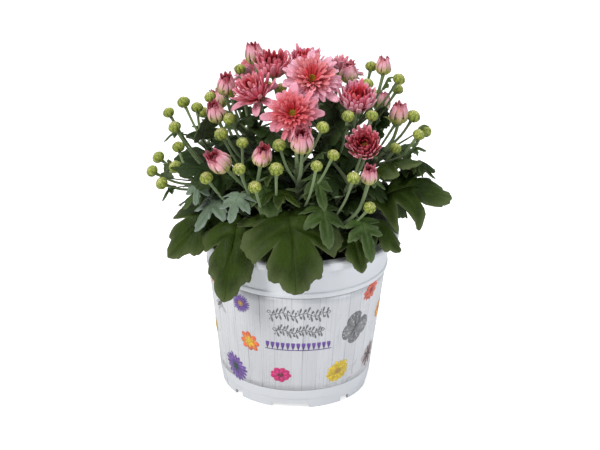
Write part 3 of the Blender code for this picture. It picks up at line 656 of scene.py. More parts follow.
def printed_tulips(spot, count, pitch):
    """A row of small upright tulip heads on a ground line."""
    plain = Matrix.Identity(2)
    for i in range(count):
        x = (i - (count - 1) / 2) * pitch
        for tip, width in ((-0.9, 1.3), (0.9, 1.3), (0, 1.6)):
            low, high = Vector((x, -2.4)), Vector((x + tip, 2.4))
            printed_petal(spot, low, high, width, DEEP_PURPLE, PURPLE, 1, plain)
        printed_stroke(spot, [Vector((x, -3.4)), Vector((x, -2.0))], 0.45, DEEP_PURPLE)
    ground = [Vector((x * pitch * count / 24, -3.3)) for x in range(-12, 13)]
    printed_stroke(spot, ground, 0.5, DEEP_PURPLE)


printed_moth((43, 57), 1.25, -38)
printed_moth((-90, 76), 0.8, -25)
printed_moth((146, 50), 1.1, -30)
printed_fly((-61, 68), 0.95, -52)
printed_fly((110, 54), 0.9, 40)
for middle, seed in ((2, 1), (-176, 2)):
    printed_scroll((middle, 75), 20, 9.0, PEN_GREY, seed)
    printed_scroll((middle, 62), 16, 8.0, PEN_GREY, seed + 5)
    printed_tulips((middle, 50.5), 13, 3.5)

flower_ink, tree, shader = finish("flower_ink", IOR=1.5)
uneven = place_group(tree, UNEVEN, Broad=420.0, Fine=3000.0)
fading = between(tree, uneven["Grain"], 0.45, 0.7, 0.0, 0.16)
faded = blend(tree, fading, tint_of(tree), (0.75, 0.75, 0.78, 1))
glossy = between(tree, uneven["Mottle"], 0.3, 0.7, 0.26, 0.36)
surface(tree, shader, faded, glossy, uneven["Grain"], 0.03, 0.0001)
thicken(add_piece("printed_flowers", ink.mesh("printed_flowers"), [flower_ink], "label_film"), INK_THICKNESS)

# ---- Potting mix ----
# Damp peat with shreds of bark. It fills the cup to the watering room under the rim, is slightly mounded, and
# its surface is loose.
MIX_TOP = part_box("potting_mix")[1][2]
MIX_MOUND = 0.003
MIX_RINGS, MIX_SIDES = 26, 72
MIX_GAP = 0.0003        # between the mix and the cup
BARK_SHREDS = 260
mix_radius = wall_radius(MIX_TOP) - RECESS - WALL - MIX_GAP
chance = random.Random(11)

peat, tree, shader = finish("damp_peat", Roughness=0.93)
uneven = place_group(tree, UNEVEN, Broad=160.0, Fine=900.0)
crumb_share = between(tree, uneven["Grain"], 0.35, 0.65)
crumbs = blend(tree, crumb_share, (0.010, 0.006, 0.004, 1), (0.050, 0.030, 0.018, 1))
crumbs = blend(tree, between(tree, uneven["Mottle"], 0.3, 0.7, 0.0, 0.6), crumbs, (0.022, 0.013, 0.009, 1))
surface(tree, shader, multiplied(tree, 1.0, crumbs, tint_of(tree)), None, uneven["Grain"], 0.8, 0.0008)

mix = Patchwork()
rows = []
for ring in range(MIX_RINGS + 1):
    share = ring / MIX_RINGS
    row = []
    for spoke in spokes(MIX_SIDES):
        place = Vector((*spoke, 0)) * mix_radius * max(share, 0.004)
        loose = noise.noise(place * 260) * 0.0010 + noise.noise(place * 700) * 0.0006
        height = MIX_TOP - 0.0009 - MIX_MOUND * max(0, share - 0.6) / 0.4 + loose * (1 - share**8)
        row.append((place + Vector((0, 0, height)), (1, 1, 1), tuple(place.xy)))
    rows.append(row)
for depth in (0.012, 0.05, MIX_TOP - FLOOR_HEIGHT - WALL - 0.0004):
    floor_z = MIX_TOP - depth
    reach = wall_radius(floor_z) - RECESS - WALL - MIX_GAP
    rows.append([(Vector((c * reach, s * reach, floor_z)), (1, 1, 1), (0, 0)) for c, s in spokes(MIX_SIDES)])
mix.net(rows, ring=True, caps=True)
for _ in range(BARK_SHREDS):
    a, reach = chance.uniform(0, math.tau), mix_radius * 0.97 * math.sqrt(chance.random())
    long, thick = chance.uniform(0.0010, 0.0042), chance.uniform(0.0005, 0.0011)
    heading = Matrix.Rotation(chance.uniform(0, math.tau), 3, "Z")
    turn = heading @ Matrix.Rotation(chance.uniform(-0.5, 0.5), 3, "Y")
    fall = MIX_MOUND * max(0, reach / mix_radius - 0.6) / 0.4
    centre = Vector((math.cos(a) * reach, math.sin(a) * reach, MIX_TOP - 0.0007 - fall + thick * 0.4))
    tone = chance.choice(((1, 1, 1), (1.9, 1.5, 1.2), (3.2, 2.3, 1.6), (0.6, 0.6, 0.6)))
    bark = []
    for share in (-1, -0.55, 0.1, 0.6, 1):
        bulge = thick * math.sqrt(max(0.06, 1 - share * share)) * chance.uniform(0.75, 1.15)
        ends = [Vector((share * long / 2, c * bulge, s * bulge * 0.6)) for c, s in spokes(6, -1)]
        bark.append([(centre + turn @ end, tone, (0, 0)) for end in ends])
    mix.net(bark, ring=True, caps=True)
add_piece("peat_mix", mix.mesh("peat_mix"), [peat], "potting_mix", "potting_mix")

# ---- Stems and green buds ----
# Ten ribbed, slightly downy stems rise from the mix and fork into stalks. Each length of stem is a swept
# tube, wider where it leaves its shoot, and most stalks end in a closed bud wrapped in green bracts.
STEM_RADIUS = 0.0022
SHOOT_RADIUS = 0.0015
STALK_RADIUS, HEAD_STALK_RADIUS = 0.0009, 0.00117
RIB = 1.07              # how much further out every second line of a ribbed tube is
FLARE_REACH = 0.0025
STEM_DEPTH = 0.014
BUD_RADIUS = 0.0045
BUD_FLATNESS = 0.86
SHOOT_STEP = 0.016
STALK_STEP = 0.024
NECK = 0.0015
CLIMB = 0.9
CLEARANCE = 0.0003
PLANT_UNIT = 0.001 * LIP_RADIUS / 0.070
BRACT_THICKNESS = 0.0002


def planted(x, y, height):
    """A place on the plant, from millimetres across and above the rim."""
    return Vector((x, y, height)) * PLANT_UNIT + Vector((0, 0, RIM_Z))


def facing(heading, tilt):
    """Unit vector for a plan heading (0 is +X, -90 the front) and a tilt above the horizon, in degrees."""
    h, t = math.radians(heading), math.radians(tilt)
    return Vector((math.cos(h) * math.cos(t), math.sin(h) * math.cos(t), math.sin(t)))


def smooth_line(points, step=SHOOT_STEP):
    """Points every step along a Catmull-Rom curve through the given ones."""
    ends = [2 * points[0] - points[1], *points, 2 * points[-1] - points[-2]]
    line = [points[0]]
    for a, b, c, d in zip(ends, ends[1:], ends[2:], ends[3:]):
        pieces = max(1, round((c - b).length / step))
        for i in range(1, pieces + 1):
            t = i / pieces
            bend = (2 * a - 5 * b + 4 * c - d) * t**2 + (3 * b - a - 3 * c + d) * t**3
            line.append(0.5 * (2 * b + (c - a) * t + bend))
    return line


def along(line, height):
    """The place on a rising line at a height above the rim, its direction there, and its share of the way."""
    height = planted(0, 0, height).z
    for i, (low, high) in enumerate(zip(line, line[1:])):
        if low.z <= height <= high.z:
            share = (height - low.z) / (high.z - low.z)
            return low.lerp(high, share), (high - low).normalized(), (i + share) / (len(line) - 1)
    return line[-1].copy(), (line[-1] - line[-2]).normalized(), 1.0


def branch(line, tip, direction):
    """A stalk's points, from the highest place on its shoot that it can climb from, to its tip."""
    start = line[2]
    for point in reversed(line[2:]):
        if tip.z - point.z >= CLIMB * (tip.xy - point.xy).length + 2 * SHOOT_RADIUS:
            start = point
            break
    span = (tip - start).length
    bend = tip - direction * span * 0.45
    pieces = max(2, round(span / STALK_STEP))
    return [start.lerp(bend, t).lerp(bend.lerp(tip, t), t) for t in (i / pieces for i in range(pieces + 1))]


# Where each stem's shoots run and its green buds sit: (x, y, height above the rim) in millimetres, and for a
# bud its shoot before them. Young leaves are (shoot, height of the foot, base, tip, arch, width, blade).
STEMS = {
    "crown": {
        "shoots": [[(2, 2, 4), (1, 3, 40), (-3, 3, 72)]],
        "buds": [(0, -12, -7, 97), (0, 20, 16, 98)],
        "leaves": [
            (0, 52, (2, 18, 60), (6, 36, 60), 4, 22, "lobed"),
            (0, 66, (8, 8, 76), (12, 22, 88), 2, 14, "lobed"),
        ],
    },
    "crown_left": {
        "shoots": [[(-12, 8, 4), (-20, 8, 32), (-32, 2, 62)]],
        "buds": [(0, -40, 10, 104), (0, -58, -6, 90), (0, -45, -20, 80), (0, -50, -25, 71)],
        "leaves": [
            (0, 54, (-42, 14, 64), (-52, 29, 72), 2, 16, "lobed"),
            (0, 44, (-22, 22, 52), (-24, 42, 56), 3, 22, "lobed"),
        ],
    },
    "crown_right": {
        "shoots": [[(14, 8, 4), (23, 8, 34), (36, 5, 68)]],
        "buds": [(0, 47, 22, 104), (0, 64, 2, 102), (0, 44, 0, 99), (0, 64, 12, 92), (0, 31, -34, 88)],
        "leaves": [
            (0, 62, (48, -2, 70), (56, -4, 86), 1, 18, "lobed"),
            (0, 48, (40, 18, 56), (56, 26, 60), 3, 20, "lobed"),
        ],
    },
    "left": {
        "shoots": [
            [(-21, -2, 4), (-32, -2, 22), (-52, 2, 42), (-66, 6, 58)],
            [(-34, -2, 24), (-56, -12, 34), (-72, -16, 38)],
        ],
        "buds": [
            (0, -87, 10, 73), (0, -78, 20, 77), (0, -69, 12, 76), (0, -82, -2, 67),
            (1, -92, -8, 48), (1, -95, -20, 43), (1, -88, -28, 38), (1, -80, -20, 46), (1, -80, -6, 54),
        ],
        "leaves": [
            (1, 34, (-62, -24, 36), (-75, -34, 24), 2, 20, "lobed"),
            (0, 54, (-60, 13, 60), (-61, 15, 75), 1, 12, "lobed"),
        ],
    },
    "right": {
        "shoots": [[(22, -3, 4), (32, -6, 24), (46, -8, 44), (57, -9, 58)]],
        "buds": [(0, 74, -9, 80), (0, 77, -19, 71), (0, 82, -6, 69), (0, 57, 10, 70), (0, 62, -26, 64)],
        "leaves": [(0, 50, (64, -2, 54), (80, 6, 58), 2, 16, "lobed")],
    },
    "front_left": {
        "shoots": [[(-14, -16, 4), (-22, -24, 24), (-36, -38, 45)]],
        "buds": [
            (0, -36, -50, 74), (0, -37, -62, 61), (0, -14, -66, 63), (0, -27, -69, 52), (0, -58, -50, 50)
        ],
        "leaves": [(0, 38, (-24, -42, 44), (-16, -58, 30), 4, 28, "broad")],
    },
    "front": {
        "shoots": [[(1, -20, 4), (0, -30, 30), (-1, -44, 58)]],
        "buds": [(0, -12, -58, 76), (0, 14, -57, 88), (0, 11, -75, 69), (0, 21, -66, 73)],
        "leaves": [
            (0, 42, (10, -46, 54), (17, -62, 36), 3, 20, "lobed"),
            (0, 50, (8, -38, 60), (20, -40, 68), 2, 16, "lobed"),
        ],
    },
    "front_right": {
        "shoots": [[(15, -15, 4), (24, -26, 26), (34, -42, 46)]],
        "buds": [(0, 34, -76, 62), (0, 46, -34, 88), (0, 45, -62, 37)],
        "leaves": [(0, 40, (44, -42, 50), (56, -48, 46), 2, 14, "lobed")],
    },
    "back_left": {
        "shoots": [[(-10, 22, 4), (-22, 36, 26), (-38, 50, 48)]],
        "buds": [(0, -48, 46, 76), (0, -66, 44, 62), (0, -44, 74, 58), (0, -24, 68, 74)],
        "leaves": [(0, 40, (-44, 34, 46), (-60, 26, 50), 2, 18, "lobed")],
    },
    "back_right": {
        "shoots": [[(12, 21, 4), (20, 34, 28), (32, 48, 52)]],
        "buds": [(0, 50, 44, 78), (0, 42, 68, 68), (0, 66, 38, 60), (0, 16, 70, 72)],
        "leaves": [(0, 42, (38, 36, 50), (54, 28, 54), 2, 18, "lobed")],
    },
}

# Coloured heads: name, kind, stem, (x, y, height) of the base, (heading, tilt) it faces, radius in
# millimetres.
HEADS = (
    ("bloom_crown", "open", "crown", (7, -10, 103), (-84, 48), 21),
    ("bloom_crown_back", "half", "crown", (3, 24, 102), (-80, 80), 10),
    ("bloom_front", "open", "front", (-4, -38, 91), (-94, 33), 18),
    ("bloom_crown_left", "half", "crown", (-18, 5, 104), (-100, 80), 11),
    ("bloom_left", "brush", "crown_left", (-27, -13, 94), (-140, 56), 14),
    ("bloom_right", "half", "crown_right", (37, -17, 90), (-88, 66), 11),
    ("bloom_front_right", "half", "front_right", (43, -40, 70), (-102, 42), 10),
    ("bud_crown_left", "bud", "crown_left", (-30, 20, 108), (170, 80), 6),
    ("bud_left_high", "bud", "crown_left", (-49, 2, 92), (-100, 82), 6),
    ("bud_left", "bud", "crown_left", (-53, -13, 78), (-160, 72), 6),
    ("bud_front_left", "bud", "front_left", (-47, -45, 57), (-142, 48), 7),
    ("bud_front", "bud", "front_left", (-24, -56, 65), (-72, 66), 6),
    ("bud_front_centre", "bud", "front", (2, -62, 76), (-90, 72), 7),
    ("bud_crown_right", "bud", "crown_right", (32, 12, 99), (-80, 84), 6),
    ("bud_right_high", "bud", "crown_right", (55, 14, 104), (60, 82), 5),
    ("bud_right", "bud", "right", (65, -9, 78), (-60, 84), 6),
    ("bud_front_right", "bud", "front_right", (44, -68, 58), (-70, 74), 5),
    ("bloom_back_left", "open", "back_left", (-30, 46, 88), (118, 46), 17),
    ("bloom_back_right", "open", "back_right", (26, 42, 92), (66, 50), 16),
    ("bloom_back", "half", "back_right", (2, 54, 82), (95, 60), 11),
    ("bud_back_left", "bud", "back_left", (-56, 62, 62), (140, 66), 6),
    ("bud_back_right", "bud", "back_right", (56, 56, 64), (40, 70), 6),
)


def stem_lines(name):
    """The lines that a stem's shoots follow. The first starts straight up, down in the mix."""
    lines = []
    for shoot in STEMS[name]["shoots"]:
        points = [planted(*place) for place in shoot]
        if lines:
            points[0] = along(lines[0], shoot[0][2])[0]
        else:
            foot = Vector((points[0].x, points[0].y, MIX_TOP - STEM_DEPTH))
            points = [foot, Vector((foot.x, foot.y, MIX_TOP + 2 * STEM_RADIUS)), *points]
        lines.append(smooth_line(points))
    return lines


def tube(work, points, radius_at, sides, ribbed, tint, step=0.004):
    """A closed tube along points. radius_at takes the share of the way and the distance walked so far."""
    line = smooth_line(points, step)
    side = (line[1] - line[0]).orthogonal().normalized()
    rows, walked = [], 0.0
    for i, point in enumerate(line):
        way = (line[min(i + 1, len(line) - 1)] - line[max(i - 1, 0)]).normalized()
        side = (side - way * side.dot(way)).normalized()
        over = way.cross(side)
        walked += (point - line[i - 1]).length if i else 0
        radius = radius_at(i / (len(line) - 1), walked)
        row = []
        for k, (c, s) in enumerate(spokes(sides, -1)):
            out = radius * (RIB if ribbed and k % 2 else 1)
            row.append((point + (side * c + over * s) * out, tint, (k / sides, walked)))
        rows.append(row)
    work.net(rows, ring=True, caps=True)


downy_stem, tree, shader = finish("downy_stem", Sheen_Weight=0.25, Sheen_Roughness=0.5, IOR=1.45)
uneven = place_group(tree, UNEVEN, Broad=70.0, Fine=2600.0)
youth = node(tree, "SeparateColor", Color=tint_of(tree)).outputs[0]
young = blend(tree, uneven["Mottle"], (0.14, 0.22, 0.075, 1), (0.25, 0.34, 0.15, 1))
aged = blend(tree, uneven["Mottle"], (0.050, 0.062, 0.022, 1), (0.10, 0.11, 0.05, 1))
downy = between(tree, uneven["Grain"], 0.3, 0.7, 0.46, 0.66)
surface(tree, shader, blend(tree, youth, aged, young), downy, uneven["Grain"], 0.35, 0.0002)

bract_green, tree, shader = finish("bract_green", Sheen_Weight=0.15, IOR=1.45)
uneven = place_group(tree, UNEVEN, Broad=300.0, Fine=3000.0)
tint = tint_of(tree)
dark = multiplied(tree, 0.5, tint, (0.45, 0.5, 0.4, 1))
green = blend(tree, between(tree, uneven["Mottle"], 0.35, 0.65), dark, tint)
soft = between(tree, uneven["Grain"], 0.3, 0.7, 0.40, 0.58)
surface(tree, shader, green, soft, uneven["Grain"], 0.3, 0.0002)

LIME, LIME_DEEP, BRACT_EDGE = (0.52, 0.56, 0.08), (0.28, 0.36, 0.04), (0.12, 0.18, 0.02)
CROWN, CROWN_RIPE = (0.72, 0.70, 0.26), (0.62, 0.42, 0.26)
BUD_BRACTS = ((7, -64, 12, 0.44, 0.05), (8, -30, 44, 0.42, 0.02), (9, 6, 66, 0.36, 0.0))


def mixed(first, second, share):
    return tuple(a + (b - a) * share for a, b in zip(first, second))


def bud_scale(work, turn, low, high, width, proud, lift, inner, outer, size):
    """One bract or petal tip that lies on a round bud, from one latitude to another."""
    rows = []
    for i in range(6):
        share = i / 5
        latitude = low + (high - low) * share
        rounding = math.sqrt(max(0.03, 1 - (max(0, share - 0.35) / 0.65) ** 2.2))
        breadth = width * (0.55 + 0.45 * share) * rounding
        row = []
        for across in (1, 0.5, 0, -0.5, -1):
            longitude = across * breadth / max(0.25, math.cos(math.radians(latitude)))
            rise = proud + lift * share**2 - 0.035 * across * across + 0.02 * (1 - abs(across))
            point = facing(math.degrees(longitude), latitude) * size * (1 + rise)
            point.z *= BUD_FLATNESS
            edge = max(abs(across) ** 3 * 0.8, share**5)
            row.append((turn @ point, mixed(inner, outer, edge), (across, share)))
        rows.append(row)
    work.net(rows)


def green_bud(work, centre, direction, chance):
    """A core with three rings of bracts, and at the crown the pale tips of the petals."""
    spin = Matrix.Rotation(chance.uniform(0, math.tau), 4, "Z")
    turn = Matrix.Translation(centre) @ direction.to_track_quat("Z", "Y").to_matrix().to_4x4() @ spin
    size = BUD_RADIUS * chance.uniform(0.80, 1.00)
    ripe = chance.random()
    core = []
    for i in range(9):
        latitude = -88 + 176 * i / 8
        row = []
        for k in range(14):
            point = facing(-360 * k / 14, latitude) * size * 0.95
            point.z *= BUD_FLATNESS
            row.append((turn @ point, mixed(LIME_DEEP, CROWN, max(0, latitude / 88)), (0, 0)))
        core.append(row)
    work.net(core, ring=True, caps=True)
    for count, low, high, width, proud in BUD_BRACTS:
        start = chance.uniform(0, math.tau)
        for i in range(count):
            swing = Matrix.Rotation(start + math.tau * (i + chance.uniform(-0.1, 0.1)) / count, 4, "Z")
            green = mixed(LIME_DEEP, LIME, min(1, 0.35 + 0.5 * (low + 64) / 70 + chance.uniform(-0.15, 0.15)))
            top = high + chance.uniform(-4, 4)
            bud_scale(work, turn @ swing, low, top, width, proud, 0.05, green, BRACT_EDGE, size)
    for count, low, high in ((9, 50, 78), (5, 64, 86)):
        for i in range(count):
            swing = Matrix.Rotation(math.tau * (i + chance.uniform(-0.2, 0.2)) / count, 4, "Z")
            pale = mixed(CROWN, CROWN_RIPE, ripe * 0.5)
            bud_scale(work, turn @ swing, low, high, 0.22, 0.02, 0.06, pale, LIME_DEEP, size)


def flared(start, end, flare, tip=0.0):
    """A radius that eases from start to end, wider at its foot and, if asked, at its top."""
    def radius_at(share, walked):
        widening = flare * math.exp(-walked / FLARE_REACH) + tip * share**12
        return (start + (end - start) * share) * (1 + widening)

    return radius_at


for order, (name, layout) in enumerate(STEMS.items()):
    lines = stem_lines(name)
    chance = random.Random(40 + order)
    wood, buds = Patchwork(), Patchwork()
    for shoot, line in enumerate(lines):
        radius_at = flared(SHOOT_RADIUS if shoot else STEM_RADIUS, SHOOT_RADIUS * 0.9, 0.3)
        tube(wood, line, radius_at, 12, True, (0.25 + 0.3 * shoot, 0, 0))
    for shoot, x, y, height in layout["buds"]:
        tip = planted(x, y, height)
        start = branch(lines[shoot], tip, Vector((0, 0, 1)))[0]
        outward = ((tip - start).normalized() + Vector((0, 0, 0.6))).normalized()
        stalk = branch(lines[shoot], tip, outward)
        radius_at = flared(STALK_RADIUS, STALK_RADIUS * 0.85, 0.5, 0.6)
        tube(wood, stalk, radius_at, 8, True, (chance.uniform(0.55, 1.0), 0, 0))
        green_bud(buds, tip + outward * BUD_RADIUS * 0.6, outward, chance)
    for _, _, carrier, place, way, _ in HEADS:
        if carrier == name:
            direction = facing(*way)
            top = planted(*place) - direction * CLEARANCE
            stalk = [*branch(lines[0], top - direction * NECK, direction), top]
            radius_at = flared(HEAD_STALK_RADIUS, STALK_RADIUS * 1.15, 0.4, 0.5)
            tube(wood, stalk, radius_at, 10, True, (chance.uniform(0.6, 1.0), 0, 0))
    add_piece(f"shoots_{name}", wood.mesh("shoots"), [downy_stem], "stem", f"stem_{name}")
    bracts = add_piece(f"green_buds_{name}", buds.mesh("buds"), [bract_green], "bud", f"stem_{name}")
    thicken(bracts, BRACT_THICKNESS)

# ---- Leaves ----
# Thick, soft, lobed leaves, dark olive on top and greyer beneath. A round stalk runs on under the blade as
# its rib, veins run out to the lobes, the blade swells between them, and the toothed margin ruffles.
LEAF_THICKNESS = 0.0005
STALK_SINK = 0.0006     # how deep a leaf's stalk stands in its shoot
VEIN_ROWS = 80          # rows from the stalk round one side to the tip
# A blade's reach along each row, as a share of its envelope, from the stalk round to the tip. Lobes are the
# peaks.
LOBES = {
    "broad": (
        (0, 0.46), (0.07, 0.66), (0.16, 0.92), (0.25, 0.94), (0.30, 0.66), (0.35, 0.93), (0.45, 1.10),
        (0.575, 1.06), (0.62, 0.58), (0.665, 0.92), (0.74, 1.05), (0.82, 0.98), (0.90, 1.10), (1, 1.17),
    ),
    "lobed": (
        (0, 0.30), (0.08, 0.50), (0.18, 0.86), (0.25, 0.70), (0.32, 0.36), (0.41, 0.74), (0.53, 1.04),
        (0.60, 0.78), (0.68, 0.40), (0.77, 0.62), (0.89, 0.92), (1, 1.08),
    ),
    "fingered": (
        (0, 0.24), (0.08, 0.40), (0.17, 0.86), (0.24, 0.66), (0.30, 0.36), (0.39, 0.78), (0.49, 1.08),
        (0.58, 0.92), (0.635, 0.42), (0.70, 0.70), (0.82, 0.96), (0.92, 1.04), (1, 1.08),
    ),
}
TEETH = {"broad": (0.034, 15), "lobed": (0.085, 11), "fingered": (0.06, 9)}     # depth and number on one side
VEINS = (0.17, 0.49, 1.0)
VEIN_WIDTH = 0.0008
BLADE_FAN = math.radians(108)       # from the tip's direction back to the first row's


def eased_keys(keys, share):
    """The value at a share between the keys, eased."""
    for (s0, v0), (s1, v1) in zip(keys, keys[1:]):
        if s0 <= share <= s1:
            t = (share - s0) / (s1 - s0)
            return v0 + (v1 - v0) * t * t * (3 - 2 * t)
    return keys[-1][1]


def curve_at(points, t):
    """Place and direction on a Catmull-Rom curve through the points, at t spans from its start."""
    i = min(max(int(t), 0), len(points) - 2)
    t -= i
    b, c = points[i], points[i + 1]
    a = points[i - 1] if i else 2 * b - c
    d = points[i + 2] if i + 2 < len(points) else 2 * c - b
    q, w, k = 2 * a - 5 * b + 4 * c - d, 3 * b - a - 3 * c + d, c - a
    return 0.5 * (2 * b + k * t + q * t**2 + w * t**3), (k + 2 * q * t + 3 * w * t**2).normalized()


def level_side(midrib):
    """The level direction across a leaf; one that stands upright takes +X."""
    base, tip = midrib[1], midrib[-1]
    level = Vector((base.y - tip.y, tip.x - base.x, 0))
    return (level if level.length > 0.003 else Vector((1, 0, 0))).normalized()


def leaf_blade(work, midrib, width, roll, blade, seed, cup=0.0, rows_out=VEIN_ROWS, columns=8):
    """A blade on its curved midrib. The tint holds the vein, the margin and the height of the swelling."""
    length = (midrib[-1] - midrib[1]).length
    side = level_side(midrib)
    turn = math.radians(roll) * (-1 if side.y < 0 else 1)
    depth, teeth = TEETH[blade]
    chance = random.Random(seed)
    drift = Vector((chance.uniform(0, 50), chance.uniform(0, 50), 0))
    for hand in (-1, 1):
        sway = chance.uniform(-0.02, 0.02)
        rows = []
        for i in range(rows_out + 1):
            share = i / rows_out
            angle = BLADE_FAN * (1 - share) ** 0.86
            start = length * (0.01 + 0.60 * share)
            envelope = width / 2 * 1.16 * (1 - share**2.2) + length * 0.385 * share**2.2
            lobe = eased_keys(LOBES[blade], min(1, max(0, share + sway * math.sin(share * math.pi) * 2)))
            tooth = abs(math.sin(share * teeth * math.pi + hand)) ** 0.8 * depth - depth * 0.5
            rough = 1 + chance.uniform(-0.006, 0.006)
            reach = envelope * (lobe + tooth * min(1, share * 8) * (1 - 0.5 * share**8)) * rough
            near = min(abs(share - vein) for vein in VEINS)
            row = []
            for column in range(columns + 1):
                out = (column / columns) ** 0.9
                across = hand * math.sin(angle) * reach * out
                forward = start + math.cos(angle) * reach * out
                side_vein = math.exp(-((near * reach * out * 1.7 / VEIN_WIDTH) ** 2)) * (1 - 0.6 * out)
                vein = max(side_vein, math.exp(-((column * 1.3) ** 2)))
                swell = (1 - vein) * min(1, near * 9) * math.sin(math.pi * min(1, out * 1.05)) * width * 0.030
                wave = math.sin(share * 21 + seed + hand) * 0.016 * (1 - share**4)
                wave += noise.noise(Vector((across, forward, 0)) * 60 + drift) * 0.075
                lift = swell - vein * width * 0.008 + wave * width * out**2 + cup * across**2 / width * 2
                station = max(0, forward) / length * 2
                middle, direction = curve_at(midrib, 1 + min(2, station))
                if forward < 0:
                    middle = middle + direction * forward
                elif station > 2:
                    middle = middle + direction * (station - 2) * length / 2
                swing = turn * min(1, max(0, station))
                normal = direction.cross(side)
                sideways = side * math.cos(swing) + normal * math.sin(swing)
                above = direction.cross(sideways)
                sag = across**2 / width * 0.6
                place = middle + sideways * across + above * (lift - sag)
                # out**6 marks the margin, which the finish paints paler as a highlight; where swollen is low,
                # in the dips, it paints shade.
                swollen = min(1, max(0, lift / width * 12 + 0.4))
                row.append((place, (vein, out**6, swollen), (across, forward)))
            rows.append(row)
        work.net(rows if hand > 0 else rows[::-1])


def leaf_stalk(work, midrib, width):
    """The stalk and the rib under the blade, one tapering tube."""
    stout = 0.0007 + width * 0.010
    side = level_side(midrib)
    points = [curve_at(midrib, t)[0] for t in (0, 0.3, 0.6, 0.85)]
    for t in (1.05, 1.5, 2.0, 2.5):
        place, direction = curve_at(midrib, t)
        points.append(place - direction.cross(side) * (0.0004 + width * 0.008 + stout * (1.25 - t / 3)))

    def radius_at(share, walked):
        return stout * (1.25 - share) * (1 + 0.7 * math.exp(-walked / 0.002))

    tube(work, points, radius_at, 8, False, (1, 0, 0.5), 0.005)


LEAF_TISSUE, tissue_in, tissue_out = new_group(
    "leaf_tissue",
    (
        ("Blade", "Color", (0.03, 0.07, 0.01, 1)), ("Vein", "Color", (0.08, 0.13, 0.04, 1)),
        ("Rim", "Color", (0.07, 0.12, 0.03, 1)), ("Shadow", "Color", (0.01, 0.03, 0.004, 1)),
    ),
    (("Colour", "Color"), ("Gloss", "Float"), ("Height", "Float")),
)
traits = node(LEAF_TISSUE, "SeparateColor", Color=tint_of(LEAF_TISSUE)).outputs
spot = node(LEAF_TISSUE, "TexCoord").outputs["Object"]
uneven = place_group(LEAF_TISSUE, UNEVEN, Broad=75.0, Fine=1300.0)
cells = node(LEAF_TISSUE, "TexVoronoi", {"feature": "DISTANCE_TO_EDGE"}, Vector=spot, Scale=430.0)
veinlets = between(LEAF_TISSUE, cells.outputs["Distance"], 0.0, 0.14)
# The dark Shadow colour is the low end of the mottle, and it stays as painted shade in the dips between the
# swellings. The Rim colour paints a highlight along the margin.
ground = tissue_in["Shadow"]
for share, part in (
    (between(LEAF_TISSUE, uneven["Mottle"], 0.3, 0.7), "Blade"),
    (between(LEAF_TISSUE, traits[2], 0.2, 0.9, 0.0, 0.35), "Blade"),
    (between(LEAF_TISSUE, veinlets, 0.0, 1.0, 0.20, 0.0), "Vein"),
    (maths(LEAF_TISSUE, "MULTIPLY", traits[1], 0.75), "Rim"),
    (maths(LEAF_TISSUE, "MULTIPLY", traits[0], 0.62), "Vein"),
):
    ground = blend(LEAF_TISSUE, share, ground, tissue_in[part])
LEAF_TISSUE.links.new(ground, tissue_out["Colour"])
LEAF_TISSUE.links.new(between(LEAF_TISSUE, uneven["Grain"], 0.3, 0.7, 0.38, 0.56), tissue_out["Gloss"])
grain_height = maths(LEAF_TISSUE, "MULTIPLY", uneven["Grain"], 0.5)
swell = maths(LEAF_TISSUE, "MULTIPLY_ADD", veinlets, 0.6, grain_height)
LEAF_TISSUE.links.new(swell, tissue_out["Height"])


def leaf_finish(name, sheen, glaze, **parts):
    """A leaf's finish, from its sheen, the strength of its gloss and the colours of its parts."""
    made, tree, shader = finish(
        name, Sheen_Weight=sheen, Sheen_Roughness=0.45, IOR=1.45, Specular_IOR_Level=glaze
    )
    tissue = place_group(tree, LEAF_TISSUE, **{part: (*colour, 1) for part, colour in parts.items()})
    surface(tree, shader, tissue["Colour"], tissue["Gloss"], tissue["Height"], 0.5, 0.0004)
    return made


# In each leaf finish the Rim colour is a painted highlight along the margin, and the Shadow colour is painted
# shade in the dips.
leaf_old = leaf_finish(
    "leaf_old", 0.0, 0.14, Blade=(0.030, 0.057, 0.003), Vein=(0.052, 0.084, 0.014),
    Rim=(0.140, 0.175, 0.070), Shadow=(0.008, 0.018, 0.001),
)
# A darker copy of the leaf finish: painted shade, for leaves inside and under the crown.
leaf_dark = leaf_finish(
    "leaf_dark", 0.0, 0.14, Blade=(0.015, 0.033, 0.005), Vein=(0.045, 0.075, 0.020),
    Rim=(0.045, 0.072, 0.022), Shadow=(0.004, 0.011, 0.001),
)
leaf_young = leaf_finish(
    "leaf_young", 0.02, 0.22, Blade=(0.036, 0.076, 0.007), Vein=(0.090, 0.150, 0.040),
    Rim=(0.150, 0.205, 0.090), Shadow=(0.011, 0.030, 0.003),
)
# Pale downy green, and painted paler still as the whitish sheen that these young leaves show.
leaf_pale = leaf_finish(
    "leaf_pale", 0.2, 0.4, Blade=(0.130, 0.195, 0.120), Vein=(0.220, 0.300, 0.210),
    Rim=(0.300, 0.370, 0.320), Shadow=(0.030, 0.066, 0.022),
)
leaf_under = leaf_finish(
    "leaf_under", 0.15, 0.14, Blade=(0.085, 0.118, 0.050), Vein=(0.150, 0.190, 0.095),
    Rim=(0.105, 0.145, 0.062), Shadow=(0.055, 0.080, 0.032),
)

